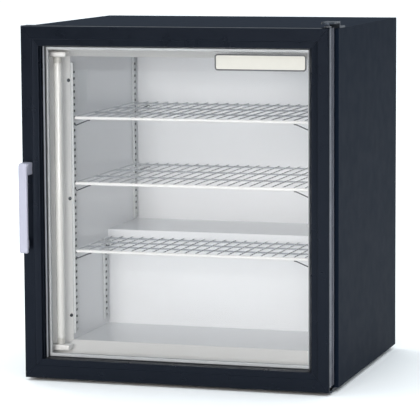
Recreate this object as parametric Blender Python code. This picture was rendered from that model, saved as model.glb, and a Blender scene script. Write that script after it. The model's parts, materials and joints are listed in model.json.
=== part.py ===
"""Glass door merchandiser: a table-top refrigerated display cabinet with one hinged glass door.

Metres, +Z up, door towards -Y. Z = 0 is the table under the feet, and the origin is the middle
of the footprint. Every size is tied to the constants below.
"""

import math

import bmesh
import bpy
from mathutils import Matrix, Vector

# Cabinet
CAB_W = 0.622
CAB_D = 0.483
CAB_H = 0.678
SHEET = 0.0012
GAP = 0.0003
FOOT_H = 0.008
FOOT_R = 0.019
FOOT_INSET = 0.085
BACK_RECESS = 0.004

# Door
DOOR_SIDE = 0.006  # how much narrower than the cabinet, each side
DOOR_RISE = 0.003  # how far it stands above the cabinet's top
DOOR_LIFT = 0.005  # clearance under it
DOOR_T = 0.038
DOOR_GAP = 0.010
FACE_W = 0.0362
STEP_W = 0.0235
STEP_D = 0.002
LIP_W = 0.0409
LIP_D = 0.0185
REBATE = 0.0285
PANE_T = 0.004
CAVITY = 0.008
SPACER_W = 0.0162
BEAD_W = 0.0018
GASKET_IN = 0.0095
GASKET_W = 0.013
MITRE = 0.0002

# Pull
PULL_REACH = 0.034
PULL_W = 0.017
PULL_IN = 0.005
PULL_Z0 = 0.253
PULL_Z1 = 0.427
PULL_GRIP = 0.009
PULL_POST = 0.024

# Nameplate
PLATE_W = 0.178
PLATE_H = 0.031
PLATE_FROM_RIGHT = 0.0485
PLATE_FROM_TOP = 0.051

# Hinges
PIN_R = 0.003
PIN_CLEAR = 0.0003
AXIS_IN = 0.007
ARM_R = 0.0125
ARM_T = 0.0035
ARM_RISE = 0.0067
LOWER_ARM_R = 0.009
LOWER_ARM_T = 0.003
NOTCH_H = 0.011

# Liner, throat and storage space
OPEN_SIDE = 0.031
OPEN_BOTTOM = 0.030
OPEN_TOP = 0.038
THROAT_D = 0.057
WALL_SIDE = 0.0685
WALL_TOP = 0.061
WALL_BACK = 0.033
FLOOR_H = 0.057
STEP_FROM_BACK = 0.218
STEP_H = 0.2505
LINER_T = 0.0015
STRIP_T = 0.002
STEP_FOAM = 0.030

# Shelving
PILASTER_W = 0.017
PILASTER_H = 0.0045
PILASTER_T = 0.001
PILASTER_END = 0.013
SLOT_PITCH = 0.0127
SLOT_H = 0.0050
SLOT_W = 0.0115
SHELF_SHARES = (0.791, 0.561, 0.3215)  # of the storage height
SHELF_CLEAR = 0.001
SHELF_BACK = 0.022
WIRES = 22
WIRE = 0.003
RAIL = 0.006

# Lamp
TUBE_R = 0.008
TUBE_END = 0.0355  # from the opening's end to the tube's glass
TUBE_IN = 0.0585  # from the cabinet's side to the tube's axis
TUBE_BACK = 0.014  # from the cabinet's front to the tube's axis
CAP_L = 0.012
HOLDER_H = 0.012

# Machine compartment
LOUVRES = 12
LOUVRE_PITCH = 0.0135
FAN_R = 0.060
MOTOR_R = 0.027
COMP_R = 0.066
COMP_H = 0.160
KNOB_R = 0.016
ROCKER_TILT = 8.0

DEPTH = PULL_REACH + DOOR_T + DOOR_GAP + CAB_D
Y_DOOR = -DEPTH / 2 + PULL_REACH
Y_DOOR_BACK = Y_DOOR + DOOR_T
Y_CAB = Y_DOOR_BACK + DOOR_GAP
Y_BACK = DEPTH / 2
Z_BASE = FOOT_H
Z_TOP = FOOT_H + CAB_H
HALF = CAB_W / 2
DOOR_HALF = HALF - DOOR_SIDE
DOOR_Z0 = DOOR_LIFT
DOOR_Z1 = Z_TOP + DOOR_RISE
AXIS_X = DOOR_HALF - AXIS_IN
AXIS_Y = Y_DOOR + DOOR_T / 2

IN = HALF - SHEET - GAP
SKIN_Y0 = Y_CAB + SHEET + GAP
PANEL_Y1 = Y_BACK - BACK_RECESS
PANEL_Y0 = PANEL_Y1 - SHEET
LINER_X = HALF - WALL_SIDE
LINER_Y0 = Y_CAB + THROAT_D
LINER_Y1 = Y_BACK - WALL_BACK
STEP_Y = Y_BACK - STEP_FROM_BACK
LINER_Z0 = Z_BASE + FLOOR_H
LINER_Z1 = Z_TOP - WALL_TOP
STEP_Z = Z_BASE + STEP_H
MACH_Y = STEP_Y + LINER_T + STEP_FOAM
MACH_Z = STEP_Z - LINER_T - STEP_FOAM
OPEN_X = HALF - OPEN_SIDE
OPEN_Z0 = Z_BASE + OPEN_BOTTOM
OPEN_Z1 = Z_TOP - OPEN_TOP
PAN_Z = Z_BASE + SHEET
PIL_X = LINER_X - GAP


# ---------------------------------------------------------------- helpers
def srgb(code):
    """Linear RGBA of a hex colour."""
    channels = [int(code[i : i + 2], 16) / 255 for i in (0, 2, 4)]
    return [c / 12.92 if c <= 0.04045 else ((c + 0.055) / 1.055) ** 2.4 for c in channels] + [1]


def material(name, code, roughness=0.5, metallic=0.0, alpha=1.0):
    made = bpy.data.materials.new(name)
    made.use_nodes = True
    shader = made.node_tree.nodes["Principled BSDF"]
    shader.inputs["Base Color"].default_value = srgb(code)
    shader.inputs["Roughness"].default_value = roughness
    shader.inputs["Metallic"].default_value = metallic
    shader.inputs["Alpha"].default_value = alpha
    return made


def box(lo, hi):
    xs, ys, zs = zip(lo, hi)
    points = [(x, y, z) for z in zs for y in ys for x in xs]
    faces = [(0, 2, 3, 1), (4, 5, 7, 6), (0, 1, 5, 4), (2, 6, 7, 3), (0, 4, 6, 2), (1, 3, 7, 5)]
    return points, faces


def prism(outline, axis, lo, hi):
    """A polygon pushed along an axis. The outline's two numbers are the other two axes in order."""
    place = {
        "x": lambda a, b, t: (t, a, b),
        "y": lambda a, b, t: (a, t, b),
        "z": lambda a, b, t: (a, b, t),
    }[axis]
    n = len(outline)
    points = [place(a, b, t) for t in (lo, hi) for a, b in outline]
    faces = [tuple(range(n)), tuple(range(2 * n - 1, n - 1, -1))]
    return points, faces + [(i, i + n, (i + 1) % n + n, (i + 1) % n) for i in range(n)]


def loft(first, second):
    """A solid between two outlines of the same number of 3D points."""
    n = len(first)
    faces = [tuple(range(n)), tuple(range(2 * n - 1, n - 1, -1))]
    faces += [(i, i + n, (i + 1) % n + n, (i + 1) % n) for i in range(n)]
    return list(first) + list(second), faces


def disc(centre, axis, radius, lo, hi, segments=20):
    """A cylinder whose axis runs along x, y or z through centre (its two other coordinates)."""
    ring = [
        (
            centre[0] + radius * math.cos(math.tau * i / segments),
            centre[1] + radius * math.sin(math.tau * i / segments),
        )
        for i in range(segments)
    ]
    return prism(ring, axis, lo, hi)


def sweep(path, radii, sides=8):
    """A round tube along a path, with a radius at each point and closed ends."""
    points, faces = [], []
    path = [Vector(p) for p in path]
    side = None
    for i, here in enumerate(path):
        before = path[max(i - 1, 0)]
        after = path[min(i + 1, len(path) - 1)]
        tangent = ((here - before).normalized() + (after - here).normalized()).normalized()
        if side is None:
            side = tangent.orthogonal()
        side = (side - tangent * side.dot(tangent)).normalized()
        other = tangent.cross(side)
        for k in range(sides):
            turn = math.tau * k / sides
            points.append(here + radii[i] * (side * math.cos(turn) + other * math.sin(turn)))
    for i in range(len(path) - 1):
        for k in range(sides):
            a, b = i * sides + k, i * sides + (k + 1) % sides
            faces.append((a, b, b + sides, a + sides))
    faces += [tuple(range(sides)), tuple(range(len(points) - 1, len(points) - sides - 1, -1))]
    return points, faces


def turn(shape, matrix):
    return [matrix @ Vector(p) for p in shape[0]], shape[1]


def ring_z(x, z0, z1, width, y0, y1):
    """A rectangular frame in the XZ plane, half width x, as outer and inner outlines."""
    outer = [(-x, z0), (x, z0), (x, z1), (-x, z1)]
    inner = [(-x + width, z0 + width), (x - width, z0 + width)]
    inner += [(x - width, z1 - width), (-x + width, z1 - width)]
    points = [(a, y, b) for y in (y0, y1) for loop in (outer, inner) for a, b in loop]
    faces = []
    for i in range(4):
        j = (i + 1) % 4
        faces += [(i, j, 4 + j, 4 + i), (8 + i, 12 + i, 12 + j, 8 + j)]
        faces += [(i, 8 + i, 8 + j, j), (4 + i, 4 + j, 12 + j, 12 + i)]
    return points, faces


def make(name, look, *shapes, origin=(0, 0, 0)):
    """One object from separate closed shapes, with its origin where it turns."""
    mesh = bpy.data.meshes.new(name)
    builder = bmesh.new()
    for points, faces in shapes:
        corners = [builder.verts.new(Vector(p) - Vector(origin)) for p in points]
        for face in faces:
            builder.faces.new([corners[i] for i in face])
    bmesh.ops.recalc_face_normals(builder, faces=builder.faces)
    builder.to_mesh(mesh)
    builder.free()
    made = bpy.data.objects.new(name, mesh)
    made.location = origin
    bpy.context.scene.collection.objects.link(made)
    if look:
        mesh.materials.append(look)
    return made


def combine(target, operation, *shapes):
    """Cuts the shapes from an object, or adds them to it."""
    tool = make("tool", None, *shapes)
    change = target.modifiers.new("change", "BOOLEAN")
    change.operation = operation
    change.solver = "EXACT"
    change.object = tool
    bpy.context.view_layer.update()
    graph = bpy.context.evaluated_depsgraph_get()
    result = bpy.data.meshes.new_from_object(target.evaluated_get(graph))
    look = target.data.materials[0]
    target.modifiers.clear()
    target.data = result
    result.materials.clear()
    result.materials.append(look)
    for face in result.polygons:
        face.material_index = 0
    bpy.data.objects.remove(tool)


def cut(target, *shapes):
    combine(target, "DIFFERENCE", *shapes)


def add(target, *shapes):
    combine(target, "UNION", *shapes)


def smooth(target, angle=35):
    """Round faces shade smoothly, and edges sharper than the angle stay crisp."""
    target.data.shade_smooth()
    target.data.set_sharp_from_angle(angle=math.radians(angle))


# ---------------------------------------------------------------- cabinet shell
def build_shell(look):
    skin = make(
        "outer_wrapper", look["black"], box((-HALF, Y_CAB, Z_BASE), (HALF, Y_BACK, Z_TOP))
    )
    cut(
        skin,
        box(
            (-HALF + SHEET, Y_CAB + SHEET, Z_BASE - 1), (HALF - SHEET, Y_BACK + 1, Z_TOP - SHEET)
        ),
    )
    cut(skin, box((-OPEN_X, Y_CAB - 1, OPEN_Z0), (OPEN_X, Y_CAB + 0.01, OPEN_Z1)))

    seam = MACH_Z + 0.004
    make(
        "back_panel",
        look["zinc"],
        box((-IN, PANEL_Y0, seam + GAP), (IN, PANEL_Y1, Z_TOP - SHEET - GAP)),
    )
    grille = make(
        "machine_grille", look["black"], box((-IN, PANEL_Y0, Z_BASE + GAP), (IN, PANEL_Y1, seam))
    )
    slots = []
    for centre in (-IN * 0.62, IN * 0.62):
        for i in range(LOUVRES):
            z = PAN_Z + 0.025 + i * LOUVRE_PITCH
            slots.append(
                box((centre - 0.075, PANEL_Y0 - 1, z), (centre + 0.075, PANEL_Y1 + 1, z + 0.006))
            )
    cut(grille, *slots)
    cut(grille, box((TRAY[0], PANEL_Y0 - 1, TRAY[2]), (TRAY[1], PANEL_Y1 + 1, TRAY[3])))
    cut(
        grille,
        disc((GLAND_X, GLAND_Z), "y", 0.0085, PANEL_Y0 - 1, PANEL_Y1 + 1),
    )

    pan = make(
        "base_pan",
        look["zinc"],
        box((-IN, SKIN_Y0, Z_BASE), (IN, PANEL_Y0 - GAP, PAN_Z)),
    )
    vents = [
        box((x, MACH_Y + 0.03, Z_BASE - 1), (x + 0.006, PANEL_Y0 - 0.03, PAN_Z + 1))
        for x in [-IN * 0.60 + 0.016 * i for i in range(9)]
    ]
    cut(pan, *vents)

    for side, sx in (("left", -1), ("right", 1)):
        for end, y in (("front", Y_CAB + FOOT_INSET), ("rear", Y_BACK - FOOT_INSET)):
            foot = disc((sx * (HALF - FOOT_INSET), y), "z", FOOT_R, 0, FOOT_H - GAP, 24)
            make(f"foot_{end}_{side}", look["rubber"], foot)


def throat(offset, y_front=None):
    """The throat's front and back rectangles: half width, low and high Z, at Y."""
    front = (OPEN_X - GAP + offset, OPEN_Z0 + GAP - offset, OPEN_Z1 - GAP + offset)
    back = (LINER_X + offset, LINER_Z0 - offset, LINER_Z1 + offset)
    return (front, SKIN_Y0), (back, LINER_Y0 - GAP)


def liner_outline(grow, front):
    """The liner's side view, as (y, z) points."""
    return [
        (front, LINER_Z0 - grow),
        (STEP_Y + grow, LINER_Z0 - grow),
        (STEP_Y + grow, STEP_Z - grow),
        (LINER_Y1 + grow, STEP_Z - grow),
        (LINER_Y1 + grow, LINER_Z1 + grow),
        (front, LINER_Z1 + grow),
    ]


def build_liner(look):
    wide = LINER_X + LINER_T
    liner = make(
        "inner_liner", look["white"], prism(liner_outline(LINER_T, LINER_Y0), "x", -wide, wide)
    )
    cut(liner, prism(liner_outline(0, LINER_Y0 - 0.05), "x", -LINER_X, LINER_X))

    foam = make(
        "insulation_foam",
        look["foam"],
        box((-IN, SKIN_Y0, PAN_Z + GAP), (IN, PANEL_Y0 - GAP, Z_TOP - SHEET - GAP)),
    )
    room = LINER_T + GAP
    cut(
        foam,
        prism(liner_outline(room, LINER_Y0 - 0.01), "x", -LINER_X - room, LINER_X + room),
    )
    (a, ya), (b, yb) = throat(STRIP_T + GAP)
    loops = [
        [(-x, y, z0), (x, y, z0), (x, y, z1), (-x, y, z1)]
        for (x, z0, z1), y in ((a, ya - 0.0001), (b, yb + GAP))
    ]
    cut(foam, loft(*loops))
    cut(foam, box((-1, MACH_Y, -1), (1, 1, MACH_Z)))
    plate = (
        (-LINER_X * 0.85, LINER_Y1 + LINER_T + GAP, STEP_Z + 0.04),
        (LINER_X * 0.85, LINER_Y1 + LINER_T + GAP + 0.003, LINER_Z1 - 0.04),
    )
    grown = [Vector(plate[0]) - Vector((GAP,) * 3), Vector(plate[1]) + Vector((GAP,) * 3)]
    cut(foam, box(grown[0], grown[1]))
    make("evaporator_plate", look["alu"], box(*plate))


def build_throat(look):
    (a, ya), (b, yb) = throat(0)
    (c, _), (d, _) = throat(STRIP_T)
    for side, sx in (("left", -1), ("right", 1)):
        ends = []
        for low in (True, False):
            loop = []
            for (x, z0, z1), y in ((a, ya), (b, yb), (d, yb), (c, ya)):
                loop.append((sx * x, y, z0 + 2 * MITRE if low else z1 - 2 * MITRE))
            ends.append(loop)
        make("breaker_" + side, look["strip"], loft(*ends))
    for side, pick in (("bottom", 1), ("top", 2)):
        ends = []
        for sx in (-1, 1):
            loop = []
            for rect, y in ((a, ya), (b, yb), (d, yb), (c, ya)):
                loop.append((sx * rect[0], y, rect[pick]))
            ends.append(loop)
        make("breaker_" + side, look["strip"], loft(*ends))

    return math.atan2(a[0] - b[0], yb - ya)


# ---------------------------------------------------------------- shelving
def pilaster(name, look, sx, y, z0, z1):
    face = PIL_X - PILASTER_H
    strip = make(
        name,
        look,
        box(
            (min(sx * face, sx * PIL_X), y, z0), (max(sx * face, sx * PIL_X), y + PILASTER_W, z1)
        ),
    )
    inner = sorted((sx * (face + PILASTER_T), sx * (PIL_X + 0.01)))
    cut(strip, box((inner[0], y + PILASTER_T, z0 - 1), (inner[1], y + PILASTER_W - PILASTER_T, z1 + 1)))
    mid = y + PILASTER_W / 2
    count = int((z1 - z0 - 2 * SLOT_H) / SLOT_PITCH)
    through = sorted((sx * (face - 0.01), sx * (face + 2 * PILASTER_T)))
    slots = []
    for i in range(count):
        z = z0 + SLOT_H + i * SLOT_PITCH
        slots.append(
            box((through[0], mid - SLOT_W / 2, z), (through[1], mid + SLOT_W / 2, z + SLOT_H))
        )
    cut(strip, *slots)


def build_shelving(look):
    front = LINER_Y0 + 0.0005
    rear = LINER_Y1 - PILASTER_W - 0.009
    low_rear = STEP_Y - PILASTER_W - 0.016
    for side, sx in (("left", -1), ("right", 1)):
        top = LINER_Z1 - PILASTER_END
        pilaster("pilaster_front_" + side, look["strip"], sx, front, LINER_Z0 + PILASTER_END, top)
        pilaster("pilaster_rear_" + side, look["strip"], sx, rear, STEP_Z + 0.004, top)
        pilaster(
            "pilaster_low_" + side,
            look["strip"],
            sx,
            low_rear,
            LINER_Z0 + PILASTER_END,
            STEP_Z - PILASTER_END,
        )

    reach = PIL_X - PILASTER_H - SHELF_CLEAR
    for name, share in zip(("shelf_top", "shelf_middle", "shelf_bottom"), SHELF_SHARES):
        top = LINER_Z0 + share * (LINER_Z1 - LINER_Z0)
        deep = top - RAIL > STEP_Z
        y0 = LINER_Y0 + 0.002
        y1 = (LINER_Y1 if deep else STEP_Y) - SHELF_BACK + (0 if deep else 0.014)
        wires = []
        for i in range(WIRES):
            x = (i / (WIRES - 1) - 0.5) * 2 * (reach - RAIL)
            wires.append(
                box(
                    (x - WIRE / 2, y0 + RAIL * 0.3, top - WIRE),
                    (x + WIRE / 2, y1 - RAIL * 0.3, top),
                )
            )
        rails = []
        for k in range(4):
            y = y0 + k / 3 * (y1 - RAIL - y0)
            rails.append(box((-reach, y, top - RAIL - 0.001), (reach, y + RAIL, top - 0.001)))
        shelf = make(name, look["wire"], *wires)
        add(shelf, *rails)


# ---------------------------------------------------------------- lamp
def build_lamp(look, slope):
    x = -(HALF - TUBE_IN)
    y = Y_CAB + TUBE_BACK
    mid = (OPEN_Z0 + OPEN_Z1) / 2 + 0.002
    half = (OPEN_Z1 - OPEN_Z0) / 2 - TUBE_END
    z0, z1 = mid - half, mid + half
    make("lamp_tube", look["lit"], disc((x, y), "z", TUBE_R, z0 + GAP, z1 - GAP, 24))
    make("lamp_cap_bottom", look["alu"], disc((x, y), "z", TUBE_R, z0 - CAP_L, z0, 24))
    make("lamp_cap_top", look["alu"], disc((x, y), "z", TUBE_R, z1, z1 + CAP_L, 24))
    # The holders' outline keeps 2 mm off the sloped strip beside it.
    edge = throat(0)[0][0][0]

    def slope_x(at):
        return -(edge - (at - SKIN_Y0) * math.tan(slope)) + 0.0025

    y0, y1 = y - 0.011, y + 0.014
    outline = [(slope_x(y0), y0), (x + 0.020, y0), (x + 0.020, y1), (slope_x(y1), y1)]
    low, high = z0 - CAP_L - GAP, z1 + CAP_L + GAP
    floor = OPEN_Z0 + (y1 - SKIN_Y0) / (LINER_Y0 - SKIN_Y0) * (LINER_Z0 - OPEN_Z0) + 0.001
    roof = OPEN_Z1 - (y1 - SKIN_Y0) / (LINER_Y0 - SKIN_Y0) * (OPEN_Z1 - LINER_Z1) - 0.001
    make("lamp_holder_bottom", look["strip"], prism(outline, "z", max(low - HOLDER_H, floor), low))
    make("lamp_holder_top", look["strip"], prism(outline, "z", high, min(high + HOLDER_H, roof)))
    along = Vector((math.sin(slope), math.cos(slope), 0))
    normal = Vector((math.cos(slope), -math.sin(slope), 0))
    start = Vector((-edge, SKIN_Y0, 0))
    centre = start + along * (Vector((x, y, 0)) - start).dot(along)
    corners = [
        centre + normal * out + along * side
        for out, side in ((0.001, -0.012), (0.001, 0.012), (0.003, 0.012), (0.003, -0.012))
    ]
    make(
        "lamp_channel",
        look["strip"],
        prism([(p.x, p.y) for p in corners], "z", low + GAP, high - GAP),
    )


# ---------------------------------------------------------------- machine compartment
TRAY = (-0.055, 0.055, MACH_Z - 0.110, MACH_Z - 0.012)
TRAY_D = 0.024
GLAND_X = 0.0
GLAND_Z = PAN_Z + 0.022


def build_machine(look):
    mid_y = (MACH_Y + PANEL_Y0) / 2
    room_h = MACH_Z - PAN_Z

    # Compressor on its foot plate and four stub feet
    cx = IN * 0.60
    z0 = PAN_Z + 0.016
    turned = [(0.0, 0.0), (0.75, 0.0), (0.97, 0.10), (1.0, 0.20), (1.0, 0.52), (0.93, 0.75)]
    turned += [(0.72, 0.92), (0.38, 1.0), (0.0, 1.0)]
    points, faces, count = [], [], 24
    rows = turned[1:-1]
    for r, h in rows:
        for k in range(count):
            angle = math.tau * k / count
            points.append(
                (
                    cx + COMP_R * r * math.cos(angle),
                    mid_y + COMP_R * r * math.sin(angle),
                    z0 + COMP_H * h,
                )
            )
    for i in range(len(rows) - 1):
        for k in range(count):
            a, b = i * count + k, i * count + (k + 1) % count
            faces.append((a, b, b + count, a + count))
    faces += [tuple(range(count)), tuple(range(len(points) - 1, len(points) - count - 1, -1))]
    can = make("compressor", look["black"], (points, faces))
    add(
        can,
        box(
            (cx - COMP_R - 0.012, mid_y - COMP_R + 0.004, z0 - 0.0025),
            (cx + COMP_R + 0.012, mid_y + COMP_R - 0.004, z0 + 0.003),
        ),
    )
    mounts = [
        disc((cx + sx * COMP_R, mid_y + sy * COMP_R * 0.75), "z", 0.009, PAN_Z + GAP, z0, 16)
        for sx in (-1, 1)
        for sy in (-1, 1)
    ]
    add(can, *mounts)
    smooth(can)
    side = cx - COMP_R - 0.0005
    make(
        "terminal_cover",
        look["dark"],
        box((side - 0.028, mid_y - 0.026, z0 + 0.035), (side, mid_y + 0.026, z0 + 0.095)),
    )

    # Condenser, shroud, fan and motor in line along X
    x0 = -IN + 0.030
    z_low, z_high = PAN_Z + 0.012, MACH_Z - 0.012
    fins = [
        box((x0, y, z_low), (x0 + 0.045, y + 0.0012, z_high))
        for y in [MACH_Y + 0.012 + i * (PANEL_Y0 - MACH_Y - 0.0252) / 13 for i in range(14)]
    ]
    coil = make("condenser_coil", look["alu"], *fins)
    tubes = []
    for k in range(5):
        z = z_low + room_h * (0.12 + 0.17 * k)
        for x in (x0 + 0.012, x0 + 0.033):
            tubes.append(disc((x, z), "y", 0.004, MACH_Y + 0.008, PANEL_Y0 - 0.008, 8))
    add(coil, *tubes)

    fan_z = (z_low + z_high) / 2
    shroud_x = x0 + 0.050
    shroud = make(
        "fan_shroud",
        look["zinc"],
        box((shroud_x, MACH_Y + 0.006, PAN_Z + GAP), (shroud_x + 0.0015, PANEL_Y0 - 0.006, z_high)),
    )
    cut(shroud, disc((mid_y, fan_z), "x", FAN_R + 0.004, shroud_x - 1, shroud_x + 1, 32))

    hub_x = shroud_x + 0.010
    hub_l = 0.022
    blade = make(
        "fan_blade",
        look["alu"],
        disc((mid_y, fan_z), "x", 0.016, hub_x, hub_x + hub_l, 20),
        origin=(hub_x + hub_l / 2, mid_y, fan_z),
    )
    shift = Matrix.Translation((hub_x + hub_l / 2, mid_y, fan_z))
    vanes = []
    for k in range(4):
        vane = box((-0.0008, -0.017, 0.012), (0.0008, 0.017, FAN_R))
        spun = Matrix.Rotation(math.tau * k / 4, 4, "X") @ Matrix.Rotation(math.radians(32), 4, "Z")
        vanes.append(turn(vane, shift @ spun))
    add(blade, *vanes)
    cut(blade, disc((mid_y, fan_z), "x", 0.0031, hub_x - 1, hub_x + 1, 16))

    motor_x = hub_x + hub_l + 0.002
    motor = make(
        "fan_motor", look["dark"], disc((mid_y, fan_z), "x", MOTOR_R, motor_x, motor_x + 0.040, 24)
    )
    add(motor, disc((mid_y, fan_z), "x", 0.003, hub_x - 0.003, motor_x + 0.01, 16))
    strap_x = motor_x + 0.040 + GAP
    make(
        "fan_bracket",
        look["zinc"],
        prism(
            [
                (strap_x, fan_z + MOTOR_R * 0.6),
                (strap_x, PAN_Z + GAP),
                (strap_x + 0.025, PAN_Z + GAP),
                (strap_x + 0.025, PAN_Z + GAP + 0.002),
                (strap_x + 0.002, PAN_Z + GAP + 0.002),
                (strap_x + 0.002, fan_z + MOTOR_R * 0.6),
            ],
            "y",
            mid_y - 0.015,
            mid_y + 0.015,
        ),
    )

    # Condensate pan on the floor between the fan and the compressor
    pan = make(
        "drain_pan",
        look["zinc"],
        box((-0.050, MACH_Y + 0.020, PAN_Z + GAP), (0.030, PANEL_Y0 - 0.060, PAN_Z + 0.020)),
    )
    cut(
        pan,
        box(
            (-0.048, MACH_Y + 0.022, PAN_Z + GAP + 0.0015),
            (0.028, PANEL_Y0 - 0.062, PAN_Z + 0.1),
        ),
    )

    # Lines: compressor to condenser over the compartment, with the filter drier in the run
    y = MACH_Y + 0.012
    high = MACH_Z - 0.008
    start = (cx - COMP_R * 0.55, y, high - 0.012)
    path = [start, (start[0] - 0.030, y, high - 0.004), (0.075, y, high - 0.004)]
    radii = [0.003, 0.003, 0.003]
    for step, r in ((0.010, 0.009), (0.080, 0.009), (0.090, 0.003)):
        path.append((0.075 - step, y, high - 0.004))
        radii.append(r)
    path += [(-0.09, y, high - 0.004), (strap_x + 0.04, y, high - 0.004)]
    radii += [0.003, 0.003]
    make("refrigerant_lines", look["copper"], sweep(path, radii))

    make(
        "lamp_ballast",
        look["zinc"],
        box((-0.045, MACH_Y + 0.028, MACH_Z - 0.060), (0.045, MACH_Y + 0.060, MACH_Z - 0.022)),
    )

    # Rear controls in a recessed tray
    tx0, tx1, tz0, tz1 = TRAY
    back = PANEL_Y1 - TRAY_D
    tray = make(
        "control_tray",
        look["black"],
        box((tx0 + GAP, back, tz0 + GAP), (tx1 - GAP, PANEL_Y1, tz1 - GAP)),
    )
    cut(tray, box((tx0 + 0.002, back + 0.002, tz0 + 0.002), (tx1 - 0.002, 1, tz1 - 0.002)))
    knob_x, knob_z = tx0 + 0.034, (tz0 + tz1) / 2
    rock_x = tx1 - 0.026
    cut(
        tray,
        disc((knob_x, knob_z), "y", 0.004, back - 1, back + 0.01),
        box((rock_x - 0.0085, back - 1, knob_z - 0.0135), (rock_x + 0.0085, back + 0.01, knob_z + 0.0135)),
    )
    body = make(
        "thermostat_body",
        look["zinc"],
        box(
            (knob_x - 0.020, back - 0.030, knob_z - 0.016), (knob_x + 0.020, back - GAP, knob_z + 0.016)
        ),
    )
    add(body, disc((knob_x, knob_z), "y", 0.003, back - 0.005, back + 0.012, 16))
    knob = make(
        "thermostat_knob",
        look["dark"],
        disc((knob_x, knob_z), "y", KNOB_R, back + 0.003, back + 0.015, 32),
        origin=(knob_x, back + 0.009, knob_z),
    )
    add(knob, box((knob_x - 0.0025, back + 0.010, knob_z - 0.003), (knob_x + 0.0025, back + 0.0185, knob_z + KNOB_R - 0.001)))
    cut(knob, disc((knob_x, knob_z), "y", 0.0031, back - 1, back + 0.0125, 16))
    pivot = (rock_x, back + 0.0015, knob_z)
    rocker = prism(
        [
            (0.0055, -0.0115),
            (0.0035, 0.0),
            (0.0055, 0.0115),
            (-0.003, 0.0105),
            (-0.003, -0.0105),
        ],
        "x",
        -0.0075,
        0.0075,
    )
    tilt = Matrix.Rotation(math.radians(ROCKER_TILT), 4, "X")
    make("lamp_rocker", look["dark"], turn(rocker, Matrix.Translation(pivot) @ tilt), origin=pivot)
    gland = make(
        "inlet_gland",
        look["dark"],
        disc((GLAND_X, GLAND_Z), "y", 0.0082, PANEL_Y0 - 0.016, PANEL_Y1 + 0.0034, 24),
    )
    add(gland, disc((GLAND_X, GLAND_Z), "y", 0.0115, PANEL_Y1 + GAP, PANEL_Y1 + 0.0034, 6))
    add(gland, disc((GLAND_X, GLAND_Z), "y", 0.0115, PANEL_Y0 - 0.006, PANEL_Y0 - GAP, 6))
    cut(gland, disc((GLAND_X, GLAND_Z), "y", 0.0045, -1, 1, 16))


# ---------------------------------------------------------------- door
def member(profile, side):
    """A mitred length of the door's section; u runs inwards from its edge, v backwards."""
    low, high = [], []
    for u, v in profile:
        y = Y_DOOR + v
        if side in ("left", "right"):
            x = (DOOR_HALF - u) * (-1 if side == "left" else 1)
            low.append((x, y, DOOR_Z0 + u + MITRE))
            high.append((x, y, DOOR_Z1 - u - MITRE))
        else:
            z = DOOR_Z0 + u if side == "bottom" else DOOR_Z1 - u
            low.append((-DOOR_HALF + u + MITRE, y, z))
            high.append((DOOR_HALF - u - MITRE, y, z))
    return loft(low, high)


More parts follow.
